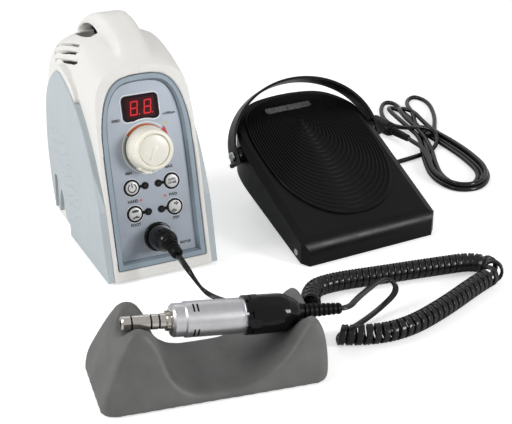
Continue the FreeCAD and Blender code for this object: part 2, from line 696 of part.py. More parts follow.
def handpiece_room():
    """The room that the handpiece needs, open upwards, along +Z from its nose with -X up."""
    around = nose_r + nose_clear
    profile = [(0, -2), (around, -2), (around, 26), (8.6, 28), (housing_r, 34), (housing_r, 78),
               (sleeve_r + 0.4, 78), (sleeve_r + 0.4, 102), (8.4, 111.5), (5.4, 114), (5.2, 150),
               (0, 150)]
    grown = [(r + rest_clear if r else 0, z) for r, z in profile]
    room = turned(grown)
    half = [Vector(0, r, z) for r, z in grown]
    other = [Vector(0, -r, z) for r, z in reversed(grown[1:-1])]
    return room.fuse(prism(half + other, Vector(-60, 0, 0)))


# Foot pedal, in its own frame: x across, y from its nose backwards

def rise(degrees, y):
    return y * math.tan(math.radians(degrees))


def pedal_outline(inset, height):
    """The treadle's plan: straight sides, small front corners and a round back."""
    right = [(pedal_half - inset, 84), (58 - inset, 97), (55 - inset, 110), (46 - inset, 123),
             (33, 132 - inset), (16, pedal_len - 0.8 - inset), (0, pedal_len - inset)]
    points = [Vector(x, y, -1) for x, y in right] + [Vector(-x, y, -1) for x, y in reversed(right[:-1])]
    corner = 5.0
    front = [Vector(-(pedal_half - inset), inset + corner, -1),
             Vector(-(pedal_half - inset - corner), inset, -1),
             Vector(pedal_half - inset - corner, inset, -1),
             Vector(pedal_half - inset, inset + corner, -1)]
    chain = [points[-1]] + front + [points[0]]
    edges = [smooth(points)] + [Part.LineSegment(a, b).toShape() for a, b in zip(chain, chain[1:])]
    return Part.Face(Part.Wire(edges)).extrude(Vector(0, 0, height))


def treadle_side(inset, low):
    """The treadle's side view: rounded nose, sloping top and, below, the skirt's rising edge."""
    radius = 14.0 - inset
    slope = math.radians(pedal_slope)
    top = Vector(0, 0, pedal_front) + Vector(0, math.sin(slope), -math.cos(slope)) * inset
    centre = Vector(0, inset + radius, 0)
    drop = radius / math.cos(slope)
    centre.z = top.z + (centre.y - top.y) * math.tan(slope) - drop
    start = Vector(0, inset, centre.z)
    end = centre + Vector(0, -math.sin(slope), math.cos(slope)) * radius
    bend = math.radians(90 - pedal_slope) / 2
    middle = centre + Vector(0, -math.cos(bend), math.sin(bend)) * radius
    far = Vector(0, 160, top.z + rise(pedal_slope, 160 - top.y))
    foot = Vector(0, inset, low)
    back = Vector(0, 160, low + rise(skirt_slope, 160))
    edges = [Part.LineSegment(foot, start).toShape(), Part.Arc(start, middle, end).toShape(),
             Part.LineSegment(end, far).toShape(), Part.LineSegment(far, back).toShape(),
             Part.LineSegment(back, foot).toShape()]
    face = Part.Face(Part.Wire(edges))
    face.translate(Vector(-70, 0, 0))
    return face.extrude(Vector(140, 0, 0))


def treadle():
    block = treadle_side(0, skirt_lift).common(pedal_outline(0, 120))
    hollow = treadle_side(shell, skirt_lift - 6).common(pedal_outline(shell, 120))
    shell_body = block.cut(hollow)
    bevels = []
    for side in (-1, 1):
        corners = [Vector(side * 53.0, 0, pedal_front + 0.02), Vector(side * 62, 0, pedal_front + 0.02),
                   Vector(side * 62, 0, pedal_front - 4.6)]
        wedge = prism(corners, Vector(0, 150, rise(pedal_slope, 150)))
        bevels.append(wedge)
    shell_body = shell_body.cut(bevels)
    posts = []
    for side in (-1, 1):
        x = side * spring_x
        post = rod(7, Vector(x, spring_y, spring_top), 30).common(treadle_side(1, 0))
        posts += [post, rod(4.4, Vector(x, spring_y, spring_top - 3), 4)]
        inner = pedal_half - 1.5
        posts.append(rod(6.5, Vector(side * inner, strap_y, strap_z), strap_boss - inner, X * side))
    whole = joined([shell_body] + posts)
    pin = rod(hinge_r, Vector(-pedal_half, hinge_y, hinge_z), 2 * pedal_half, X)
    screw = rod(screw_r, Vector(-70, strap_y, strap_z), 140, X).cut(box(-54, 54, 80, 120, 40, 70))
    whole = whole.cut([pin, screw])
    save("treadle", placed(whole, pedal_frame))
    save("hinge_pin", placed(pin, pedal_frame))


pad_centre = 107.2
plate_spot = (-3.5, 121.0)


def pad_solid(scale, low, high):
    """A plate of the pad's outline, drawn in towards the centre of its rings."""
    right = [(0, 28.9), (24, 26.5), (43, 16), (49.5, -4), (50, -26), (49.2, -48), (45.5, -66), (37, -82),
             (24, -94), (10, -99), (0, -99.5)]
    outline = right + [(-x, y) for x, y in reversed(right[1:-1])]
    points = [Vector(x * scale, y * scale, low) for x, y in outline]
    return Part.Face(Part.Wire(smooth(points, True))).extrude(Vector(0, 0, high - low))


def treadle_pad():
    """The ribbed rubber pad with its bare label plate."""
    slope = math.radians(pedal_slope)
    up = Vector(0, -math.sin(slope), math.cos(slope))
    frame = Placement(Vector(0.7, pad_centre, pedal_front + rise(pedal_slope, pad_centre)),
                      Rotation(X, Vector(0, math.cos(slope), math.sin(slope)), up, "XYZ"))
    pad = pad_solid(1.0, 0, 1.6)
    plate_x = plate_spot[0] - 0.7
    plate_y = (plate_spot[1] - pad_centre) / math.cos(slope)
    rings = 12
    grooves = []
    for i in range(2, rings):
        grooves.append(pad_solid((i + 0.3) / rings, 1.1, 2).cut(pad_solid((i - 0.15) / rings, 1, 3)))
    pad = pad.cut(Part.makeCompound(grooves))
    plate = rounded_plate(41, 5.4, 2.4, 0.9)
    plate.translate(Vector(plate_x, plate_y, 1.1))
    pad = pad.cut(plate)
    place = pedal_frame.multiply(frame)
    save("treadle_pad", placed(max(pad.Solids, key=lambda s: s.Volume), place))
    save("label_plate", placed(plate, place))


def pedal_base():
    """A tub that tapers backwards, with the hinge's ears, spring pegs and the sensor inside."""
    front, back = 53.6, 34.0
    right = [(front - 4.2, 4.8), (front, 9.2), (back, 124)]
    plan = [Vector(x, y, 1.2) for x, y in right] + [Vector(-x, y, 1.2) for x, y in reversed(right)]
    tub = prism(plan, Vector(0, 0, 50))
    side = [(-5, 9), (140, 9 + rise(16.5, 145)), (140, 80), (-5, 80)]
    lid = prism([Vector(-70, y, z) for y, z in side], Vector(140, 0, 0))
    tub = tub.cut(lid)
    right = [(front - 5.4, 7.4), (front - 2.6, 10.4), (back - 2.4, 121.6)]
    inside = [Vector(x, y, 4) for x, y in right] + [Vector(-x, y, 4) for x, y in reversed(right)]
    room = prism(inside, Vector(0, 0, 60))
    tub = tub.cut(room)
    extras = []
    for side in (-1, 1):
        extras.append(rod(3.6, Vector(side * spring_x, spring_y, 3.5), 5))
        ear = box(*sorted((side * 44, side * 50)), hinge_y - 4.5, hinge_y + 4.5, 3, hinge_z + 4.5)
        extras.append(ear)
    tub = joined([tub] + extras)
    bore = rod(hinge_r + running_gap, Vector(-60, hinge_y, hinge_z), 120, X)
    seats = [rod(6, Vector(x, y, -1), 2.2) for x, y in pedal_feet]
    lead_hole = rod(round_d / 2 + 1.5, Vector(30, lead_y, lead_exit_z), 12, X)
    save("pedal_base", placed(tub.cut([bore, lead_hole] + seats), pedal_frame))
    board = box(-14, 14, 52, 74, 4, 5.6)
    save("sensor_board", placed(joined([board, box(-4, 4, 59, 67, 5.6, 14)]), pedal_frame))
    grommet = turned([(round_d / 2, -5), (round_d / 2 + 1.5, -5), (round_d / 2 + 1.5, 0),
                      (round_d / 2 + 3, 0), (round_d / 2 + 2.4, grommet_len), (round_d / 2, grommet_len)])
    grommet = placed(grommet, Placement(Vector(grommet_x, lead_y, lead_exit_z), Rotation(Y, 90)))
    save("lead_grommet", placed(grommet, pedal_frame))


def springs():
    coils = []
    for side in (-1, 1):
        length = spring_top - spring_bottom - 2 * spring_wire
        helix = Part.makeHelix(length / 6, length, spring_r)
        start = Part.Wire(Part.makeCircle(spring_wire, Vector(spring_r, 0, 0), Vector(0, 1, 0.12)))
        coil = Part.Wire(helix.Edges).makePipeShell([start], True, True)
        coil.translate(Vector(side * spring_x, spring_y, spring_bottom + spring_wire))
        coils.append(coil)
    save("return_springs", placed(Part.makeCompound(coils), pedal_frame))


def strap():
    """A bent band over the pedal's back on two screws."""
    outer = Part.Ellipse(Vector(), strap_half, strap_height)
    inner = Part.Ellipse(Vector(), strap_half - strap_thick, strap_height - strap_thick)
    arcs = [Part.ArcOfEllipse(outer, 0, math.pi).toShape(),
            Part.ArcOfEllipse(inner, 0, math.pi).toShape()]
    ends = []
    for side in (-1, 1):
        a, b = side * strap_half, side * (strap_half - strap_thick)
        ends += [Part.LineSegment(Vector(a, 0, 0), Vector(a, -6, 0)).toShape(),
                 Part.LineSegment(Vector(a, -6, 0), Vector(b, -6, 0)).toShape(),
                 Part.LineSegment(Vector(b, -6, 0), Vector(b, 0, 0)).toShape()]
    wire = Part.Wire(Part.__sortEdges__(arcs + ends))
    band = Part.Face(wire).extrude(Vector(0, 0, strap_width))
    band.translate(Vector(0, 0, -strap_width / 2))
    beads = []
    for side in (-1, 1):
        beads.append(rod(2.0, Vector(side * (strap_half - 0.2), -6, -strap_width / 2), strap_width))
    band = joined([band] + beads)
    hole = rod(screw_r + running_gap, Vector(-80, 0, 0), 160, X)
    band = band.cut(hole)
    stand = Placement(Vector(0, strap_y, strap_z), Rotation(X, 90 - strap_back))
    save("carrying_strap", placed(placed(band, stand), pedal_frame))
    screws = []
    for side in (-1, 1):
        stem = rod(screw_r, Vector(side * 55.8, strap_y, strap_z), strap_half - 55.8 + 0.5, X * side)
        head = turned([(0, 0), (3.7, 0), (3.5, 1.0), (2.4, 1.9), (0, 2.1)])
        head = placed(head, Placement(Vector(side * (strap_half + 0.4), strap_y, strap_z),
                                      Rotation(Z, X * side)))
        slot = box(-0.5, 0.5, -2.4, 2.4, 1.3, 3)
        slot = placed(slot, Placement(Vector(side * (strap_half + 0.4), strap_y, strap_z),
                                      Rotation(Z, X * side)))
        screws.append(joined([stem, head]).cut(slot))
    save("strap_screws", placed(Part.makeCompound(screws), pedal_frame))


# Leads: a list of hand-chosen points, straight runs joined by tangent arcs

def tube(name, points, diameter):
    points = [Vector(*p) for p in points]
    edges = []
    radii = []
    last = points[0]
    for before, here, after in zip(points, points[1:], points[2:]):
        inward, outward = here - before, after - here
        half_turn = inward.getAngle(outward) / 2
        setback = 0.45 * min(inward.Length, outward.Length)
        radii.append(setback / math.tan(half_turn))
        first = here - inward * (setback / inward.Length)
        second = here + outward * (setback / outward.Length)
        way = (first + second) * 0.5 - here
        centre = here + way * ((setback ** 2 + radii[-1] ** 2) ** 0.5 / way.Length)
        middle = centre - way * (radii[-1] / way.Length)
        edges += [Part.LineSegment(last, first).toShape(), Part.Arc(first, middle, second).toShape()]
        last = second
    edges.append(Part.LineSegment(last, points[-1]).toShape())
    path = Part.Wire(edges)
    start = Part.Wire(Part.makeCircle(diameter / 2, points[0], points[1] - points[0]))
    solid = path.makePipeShell([start], True, False)
    section = math.pi * diameter ** 2 / 4
    bends = ["%.1f" % (r / diameter) for r in radii]
    lowest = min(p.z for p in solid.tessellate(0.1)[0])
    share = solid.Volume / (section * path.Length)
    print("%-16s length %6.1f  radii in diameters %s" % (name, path.Length, bends))
    print("%-16s volume ratio %.3f  lowest %.2f" % (name, share, lowest))
    return solid


relief_tip = nose_frame.multVec(Vector(0, 0, relief_end))
relief_out = nose_frame.Rotation.multVec(Z)
boot_reach = Rotation(X, boot_droop).multVec(Z) * boot_len
plug_tip = panel_frame.multVec(Vector(0, socket_v, boot_start) + boot_reach)

panel_lead_route = [tuple(plug_tip), (0.4, -112.5, 27.0), (7.4, -115.5, 13.5), (14.4, -115.5, lead_z),
                    (22.0, -132.0, lead_z), (40.0, -145.5, lead_z), (60.0, -151.6, lead_z),
                    (71.0, -161.5, 4.6)]
coil_route = [(70.7, -165.3, coil_z), (77.5, -149.5, coil_z), (97.0, -145.6, coil_z),
              (134.0, -151.2, coil_z), (178.2, -157.4, coil_z), (207.0, -162.0, coil_z),
              (211.0, -183.0, coil_z), (187.9, -191.3, coil_z), (150.0, -209.0, coil_z),
              (113.0, -222.0, coil_z), (84.0, -219.4, coil_z), (68.4, -210.6, coil_z)]
handpiece_lead_route = [tuple(relief_tip), tuple(relief_tip + relief_out * 6), (80.0, -210.0, 30.6),
                        (98.0, -194.0, 25.5), (112.0, -181.5, 21.0), (127.0, -171.0, 17.0),
                        (131.5, -180.5, 10.5), (108.0, -190.0, 4.0), (88.0, -198.5, lead_z),
                        (74.0, -203.0, lead_z), (69.5, -209.0, 5.0)]


def motor_leads():
    save("panel_lead", tube("panel_lead", panel_lead_route, twin_d))
    save("curly_cord", tube("curly_cord", coil_route, coil_d))
    save("handpiece_lead", tube("handpiece_lead", handpiece_lead_route, twin_d))


grommet_tip = pedal_frame.multVec(Vector(grommet_x + grommet_len, lead_y, lead_exit_z))
floor_z = round_d / 2 + 0.1
pedal_cord_route = [tuple(grommet_tip), (222.0, 13.5, 4.6), (245.0, 24.6, floor_z),
                    (272.0, 28.6, floor_z), (296.0, 35.0, floor_z), (308.0, 52.0, 4.0)]
hank_z = 6.2
loop_z = 5.2
hank_route = [(306.0, 64.0, hank_z), (315.0, 40.0, hank_z), (314.0, 6.0, hank_z), (308.0, -26.0, hank_z),
              (288.0, -46.0, hank_z), (270.0, -42.0, hank_z), (267.0, -16.0, hank_z),
              (278.0, 12.0, hank_z), (293.0, 42.0, hank_z)]
loop_one_route = [(296.0, 66.0, loop_z), (291.0, 100.0, loop_z), (298.0, 131.0, loop_z),
                  (316.0, 157.0, loop_z), (325.0, 148.0, loop_z), (312.0, 112.0, loop_z),
                  (303.0, 84.0, loop_z)]
loop_two_route = [(312.0, 72.0, loop_z), (322.0, 112.0, loop_z), (333.0, 144.0, loop_z),
                  (350.0, 158.0, loop_z), (355.0, 138.0, loop_z), (341.0, 104.0, loop_z),
                  (321.0, 72.0, loop_z)]


def pedal_lead():
    save("pedal_cord", tube("pedal_cord", pedal_cord_route, round_d))
    hank = tube("hank", hank_route, hank_d)
    loops = [tube("loop one", loop_one_route, 6.0), tube("loop two", loop_two_route, 6.0)]
    save("cord_hank", Part.makeCompound([hank] + loops))
    tie = turned([(7.6, -3), (9.0, -3), (9.0, 3), (7.6, 3)])
    tie = placed(tie, Placement(Vector(309, 66, 0), Rotation(X, 90)))
    tie = tie.common(box(200, 400, 0, 200, 0.2, 40))
    save("cord_tie", tie)
    place = Placement(Vector(275.4, 117.8, 6.6), Rotation(Z, Vector(0.14, -0.99, 0)))
    barrel = turned([(4.3, 0), (4.8, 0), (4.8, 12), (0, 12), (0, 9), (4.3, 9)])
    pins = [rod(0.5, Vector(2.5 * math.cos(a), 2.5 * math.sin(a), 1), 8.5) for a in (0.6, 1.8, 3.0, 4.2,
                                                                                     5.4)]
    save("plug_barrel", placed(joined([barrel] + pins), place))
    body = [(0, 12), (4.8, 12), (6.2, 12.2), (6.4, 14), (6.4, 34), (5.4, 37), (4.0, 38)]
    for i in range(7):
        start = 39 + i * 3
        body += [(2.8, start), (2.8, start + 0.8), (3.7 - 0.1 * i, start + 1),
                 (3.6 - 0.1 * i, start + 2.8)]
    body += [(2.4, 61), (0, 61)]
    save("pedal_plug", placed(turned(body), place))


case_halves()
side_covers()
bezel_and_panel()
display()
buttons()
front_board()
knob_and_shaft()
socket_and_plug()
base_and_feet()
electronics()
rear_fittings()
handpiece()
rest()
treadle()
treadle_pad()
pedal_base()
springs()
strap()
motor_leads()
pedal_lead()
for name in sorted(nodes):
    shape = nodes[name]
    box_of = shape.BoundBox
    print("%-20s valid %s solids %d volume %9.1f x %.1f..%.1f y %.1f..%.1f z %.1f..%.1f" % (
        name, shape.isValid(), len(shape.Solids), shape.Volume, box_of.XMin, box_of.XMax, box_of.YMin,
        box_of.YMax, box_of.ZMin, box_of.ZMax))
print(len(nodes), "nodes")
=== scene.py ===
# Dental lab micromotor set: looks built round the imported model. Metres, in the model's own frame.
import json
import math
import bpy
import bmesh
from mathutils import Matrix, Vector


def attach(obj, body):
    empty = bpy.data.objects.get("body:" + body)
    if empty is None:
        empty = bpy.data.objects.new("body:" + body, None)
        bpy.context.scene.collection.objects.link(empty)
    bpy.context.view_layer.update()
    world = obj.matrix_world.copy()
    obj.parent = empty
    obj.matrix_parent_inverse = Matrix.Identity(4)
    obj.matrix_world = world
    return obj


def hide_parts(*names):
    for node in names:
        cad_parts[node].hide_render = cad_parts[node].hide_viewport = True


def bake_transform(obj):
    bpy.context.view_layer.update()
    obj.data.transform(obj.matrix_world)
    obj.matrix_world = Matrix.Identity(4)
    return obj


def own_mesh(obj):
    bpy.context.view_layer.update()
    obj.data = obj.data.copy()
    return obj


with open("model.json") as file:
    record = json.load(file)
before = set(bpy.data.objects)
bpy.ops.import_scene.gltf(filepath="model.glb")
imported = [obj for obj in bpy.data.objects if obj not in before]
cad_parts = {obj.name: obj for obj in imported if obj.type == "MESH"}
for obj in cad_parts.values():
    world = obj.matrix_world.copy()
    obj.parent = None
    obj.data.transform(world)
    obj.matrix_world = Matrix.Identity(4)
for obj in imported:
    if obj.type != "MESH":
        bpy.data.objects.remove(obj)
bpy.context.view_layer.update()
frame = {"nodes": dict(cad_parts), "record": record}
nodes = frame["nodes"]
fixedBody = "control_unit_rest_and_pedal_base"
millimetre = Matrix.Scale(0.001, 4)


# Places of the four groups, in millimetres

def basis(origin, across, up, out):
    place = Matrix((across, up, out)).transposed().to_4x4()
    place.translation = Vector(origin)
    return place


unit = {"front": -75.0, "lean": math.radians(14.35)}
panelOut = (0, -math.cos(unit["lean"]), math.sin(unit["lean"]))
panelPlace = basis((0, unit["front"], 0), (1, 0, 0), (0, math.sin(unit["lean"]), math.cos(unit["lean"])), panelOut)
restPlace = Matrix.Translation((-26, -205, 0)) @ Matrix.Rotation(math.radians(-8.3), 4, "Z")
nosePlace = restPlace @ Matrix.Translation((-51, 0, 45)) @ Matrix.Rotation(math.radians(95.2), 4, "Y")
pedal = {"half": 58.7, "length": 136.5, "front": 18.0, "slope": math.radians(24.3), "skirt": math.radians(17.3)}
pedalPlace = Matrix.Translation((153.4, -105.1, 0)) @ Matrix.Rotation(math.radians(3.4), 4, "Z")


# Camera, floor and light

view = {"place": (-0.2924, -0.8448, 0.4465), "down": 25.73, "heading": 25.34, "lens": 91.4}


def makeCamera():
    data = bpy.data.cameras.new("camera")
    data.lens = view["lens"]
    data.sensor_width = 36
    data.clip_end = 20
    camera = bpy.data.objects.new("camera", data)
    camera.location = view["place"]
    camera.rotation_euler = (math.radians(90 - view["down"]), 0, math.radians(-view["heading"]))
    bpy.context.scene.collection.objects.link(camera)
    bpy.context.scene.camera = camera


lamps = {
    "right": {"place": (0.85, -1.20, 0.55), "aim": (0.05, -0.08, 0.05), "size": 0.45, "power": 10.5},
    "left": {"place": (-0.95, 0.05, 0.70), "aim": (0.0, 0.0, 0.1), "size": 0.6, "power": 7.5},
    "back": {"place": (0.2, 1.1, 1.1), "aim": (0.1, 0.0, 0.1), "size": 1.0, "power": 2.5},
}


def makeLight():
    for name, lamp in lamps.items():
        data = bpy.data.lights.new(name, "AREA")
        data.shape = "DISK"
        data.size = lamp["size"]
        data.energy = lamp["power"]
        light = bpy.data.objects.new(name, data)
        light.location = lamp["place"]
        light.rotation_euler = (Vector(lamp["aim"]) - Vector(lamp["place"])).to_track_quat("-Z", "Y").to_euler()
        bpy.context.scene.collection.objects.link(light)
    world = bpy.data.worlds.new("studio")
    bpy.context.scene.world = world
    world.use_nodes = True
    tree = world.node_tree
    background = tree.nodes["Background"]
    rays = tree.nodes.new("ShaderNodeLightPath")
    seen = tree.nodes.new("ShaderNodeMath")
    seen.operation = "MULTIPLY_ADD"
    seen.inputs[1].default_value = 0.3
    tree.links.new(rays.outputs["Is Glossy Ray"], seen.inputs[0])
    tree.links.new(rays.outputs["Is Camera Ray"], seen.inputs[2])
    strength = tree.nodes.new("ShaderNodeMapRange")
    strength.inputs["To Min"].default_value = 0.40
    strength.inputs["To Max"].default_value = 1.0
    tree.links.new(seen.outputs[0], strength.inputs["Value"])
    tree.links.new(strength.outputs[0], background.inputs["Strength"])
    background.inputs["Color"].default_value = (1, 1, 1, 1)
    bpy.context.scene.view_settings.view_transform = "Standard"


def makeFloor():
    bm = bmesh.new()
    bmesh.ops.create_grid(bm, x_segments=1, y_segments=1, size=3.0)
    mesh = bpy.data.meshes.new("floor")
    bm.to_mesh(mesh)
    floor = bpy.data.objects.new("floor", mesh)
    bpy.context.scene.collection.objects.link(floor)
    material = bpy.data.materials.new("paleFloor")
    material.use_nodes = True
    tree = material.node_tree
    surface = tree.nodes["Principled BSDF"]
    surface.inputs["Base Color"].default_value = (0.86, 0.86, 0.86, 1)
    surface.inputs["Roughness"].default_value = 0.9
    surface.inputs["Specular IOR Level"].default_value = 0.1
    rays = tree.nodes.new("ShaderNodeLightPath")
    glow = tree.nodes.new("ShaderNodeMapRange")
    glow.inputs["To Min"].default_value = 0.0
    glow.inputs["To Max"].default_value = 0.50
    tree.links.new(rays.outputs["Is Camera Ray"], glow.inputs["Value"])
    tree.links.new(glow.outputs[0], surface.inputs["Emission Strength"])
    surface.inputs["Emission Color"].default_value = (1, 1, 1, 1)
    mesh.materials.append(material)


makeCamera()
makeLight()
makeFloor()
print("camera, light and floor")


# Shared effects

# inputs are (name, value) pairs, a number or a colour; outputs are (name, kind) pairs
def newGroup(name, inputs, outputs):
    group = bpy.data.node_groups.new(name, "ShaderNodeTree")
    for label, value in inputs:
        kind = "NodeSocketColor" if isinstance(value, tuple) else "NodeSocketFloat"
        socket = group.interface.new_socket(label, in_out="INPUT", socket_type=kind)
        socket.default_value = value
    for label, kind in outputs:
        group.interface.new_socket(label, in_out="OUTPUT", socket_type=kind)
    return group, group.nodes.new("NodeGroupInput"), group.nodes.new("NodeGroupOutput")


def noiseNode(tree, scale, detail=3.0, vector=None):
    node = tree.nodes.new("ShaderNodeTexNoise")
    node.inputs["Detail"].default_value = detail
    if isinstance(scale, (int, float)):
        node.inputs["Scale"].default_value = scale
    else:
        tree.links.new(scale, node.inputs["Scale"])
    tree.links.new(vector or tree.nodes.new("ShaderNodeTexCoord").outputs["Object"], node.inputs["Vector"])
    return node.outputs["Fac"]


def stretched(tree, source, low, high, toLow, toHigh):
    node = tree.nodes.new("ShaderNodeMapRange")
    tree.links.new(source, node.inputs["Value"])
    for label, value in (("From Min", low), ("From Max", high), ("To Min", toLow), ("To Max", toHigh)):
        if isinstance(value, (int, float)):
            node.inputs[label].default_value = value
        else:
            tree.links.new(value, node.inputs[label])
    return node.outputs["Result"]


def mixed(tree, factor, first, second):
    node = tree.nodes.new("ShaderNodeMix")
    node.data_type = "RGBA"
    tree.links.new(factor, node.inputs["Factor"])
    for label, value in (("A", first), ("B", second)):
        socket = [s for s in node.inputs if s.name == label and s.type == "RGBA"][0]
        if isinstance(value, tuple):
            socket.default_value = value
        else:
            tree.links.new(value, socket)
    return [s for s in node.outputs if s.type == "RGBA"][0]


# Colour, roughness and normal of moulded plastic or rubber: drifting tone, handling marks and a fine grain
def makeMouldedSkin():
    group, given, out = newGroup("mouldedSkin", [
        ("Colour", (0.5, 0.5, 0.5, 1)), ("Shade", (0.4, 0.4, 0.4, 1)), ("Drift Scale", 12.0), ("Roughness", 0.5),
        ("Spread", 0.1), ("Grain Scale", 1500.0), ("Grain", 0.1), ("Grain Size", 0.0001)],
        [("Colour", "NodeSocketColor"), ("Roughness", "NodeSocketFloat"), ("Normal", "NodeSocketVector")])
    tree = group
    drift = noiseNode(tree, given.outputs["Drift Scale"], 4.0)
    soft = stretched(tree, drift, 0.35, 0.7, 0.0, 1.0)
    tree.links.new(mixed(tree, soft, given.outputs["Colour"], given.outputs["Shade"]), out.inputs["Colour"])
    marks = noiseNode(tree, 90.0, 6.0)
    rub = stretched(tree, marks, 0.4, 0.75, 0.0, given.outputs["Spread"])
    add = tree.nodes.new("ShaderNodeMath")
    tree.links.new(rub, add.inputs[0])
    tree.links.new(given.outputs["Roughness"], add.inputs[1])
    tree.links.new(add.outputs[0], out.inputs["Roughness"])
    grain = noiseNode(tree, given.outputs["Grain Scale"], 2.0)
    bump = tree.nodes.new("ShaderNodeBump")
    tree.links.new(grain, bump.inputs["Height"])
    tree.links.new(given.outputs["Grain"], bump.inputs["Strength"])
    tree.links.new(given.outputs["Grain Size"], bump.inputs["Distance"])
    tree.links.new(bump.outputs["Normal"], out.inputs["Normal"])
    return group


# Roughness, tone and normal of machined metal, with fine lines across the mapped X axis
def makeTurnedMetal():
    group, given, out = newGroup("turnedMetal", [
        ("Colour", (0.6, 0.6, 0.6, 1)), ("Shade", (0.5, 0.5, 0.5, 1)), ("Roughness", 0.25), ("Spread", 0.15),
        ("Lines", 0.2), ("Turn Y", 0.0), ("Turn Z", 0.0)],
        [("Colour", "NodeSocketColor"), ("Roughness", "NodeSocketFloat"), ("Normal", "NodeSocketVector")])
    tree = group
    turn = tree.nodes.new("ShaderNodeCombineXYZ")
    tree.links.new(given.outputs["Turn Y"], turn.inputs["Y"])
    tree.links.new(given.outputs["Turn Z"], turn.inputs["Z"])
    level = tree.nodes.new("ShaderNodeMapping")
    tree.links.new(tree.nodes.new("ShaderNodeTexCoord").outputs["Object"], level.inputs["Vector"])
    tree.links.new(turn.outputs[0], level.inputs["Rotation"])
    flat = tree.nodes.new("ShaderNodeMapping")
    flat.inputs["Scale"].default_value = (1.0, 0.02, 0.02)
    tree.links.new(level.outputs[0], flat.inputs["Vector"])
    lines = noiseNode(tree, 9000.0, 2.0, flat.outputs[0])
    cloud = noiseNode(tree, 160.0, 4.0)
    tree.links.new(mixed(tree, stretched(tree, cloud, 0.35, 0.7, 0.0, 1.0), given.outputs["Colour"],
                         given.outputs["Shade"]), out.inputs["Colour"])
    rub = stretched(tree, lines, 0.3, 0.7, 0.0, given.outputs["Spread"])
    add = tree.nodes.new("ShaderNodeMath")
    tree.links.new(rub, add.inputs[0])
    tree.links.new(given.outputs["Roughness"], add.inputs[1])
    tree.links.new(add.outputs[0], out.inputs["Roughness"])
    bump = tree.nodes.new("ShaderNodeBump")
    bump.inputs["Distance"].default_value = 0.00003
    tree.links.new(lines, bump.inputs["Height"])
    tree.links.new(given.outputs["Lines"], bump.inputs["Strength"])
    tree.links.new(bump.outputs["Normal"], out.inputs["Normal"])
    return group


effects = {"mouldedSkin": makeMouldedSkin(), "turnedMetal": makeTurnedMetal()}


# A material whose colour, roughness and normal come from a shared effect; shader gives plain socket values
def paint(name, effect, values, **shader):
    material = bpy.data.materials.new(name)
    material.use_nodes = True
    tree = material.node_tree
    surface = tree.nodes["Principled BSDF"]
    skin = tree.nodes.new("ShaderNodeGroup")
    skin.node_tree = effects[effect]
    for label, value in values.items():
        skin.inputs[label].default_value = value
    tree.links.new(skin.outputs["Colour"], surface.inputs["Base Color"])
    tree.links.new(skin.outputs["Roughness"], surface.inputs["Roughness"])
    tree.links.new(skin.outputs["Normal"], surface.inputs["Normal"])
    for label, value in shader.items():
        surface.inputs[label.replace("_", " ")].default_value = value
    return material


def moulded(name, colour, shade, roughness, spread=0.1, drift=12.0, grain=0.12, grainScale=1600.0,
            grainSize=0.00008, **shader):
    values = {"Colour": colour + (1,), "Shade": shade + (1,), "Drift Scale": drift, "Roughness": roughness,
              "Spread": spread, "Grain": grain, "Grain Scale": grainScale, "Grain Size": grainSize}
    return paint(name, "mouldedSkin", values, **shader)


def machined(name, colour, shade, roughness, spread=0.12, lines=0.2, turn=(0.0, 0.0), **shader):
    values = {"Colour": colour + (1,), "Shade": shade + (1,), "Roughness": roughness, "Spread": spread,
              "Lines": lines, "Turn Y": turn[0], "Turn Z": turn[1]}
    return paint(name, "turnedMetal", values, Metallic=1.0, **shader)


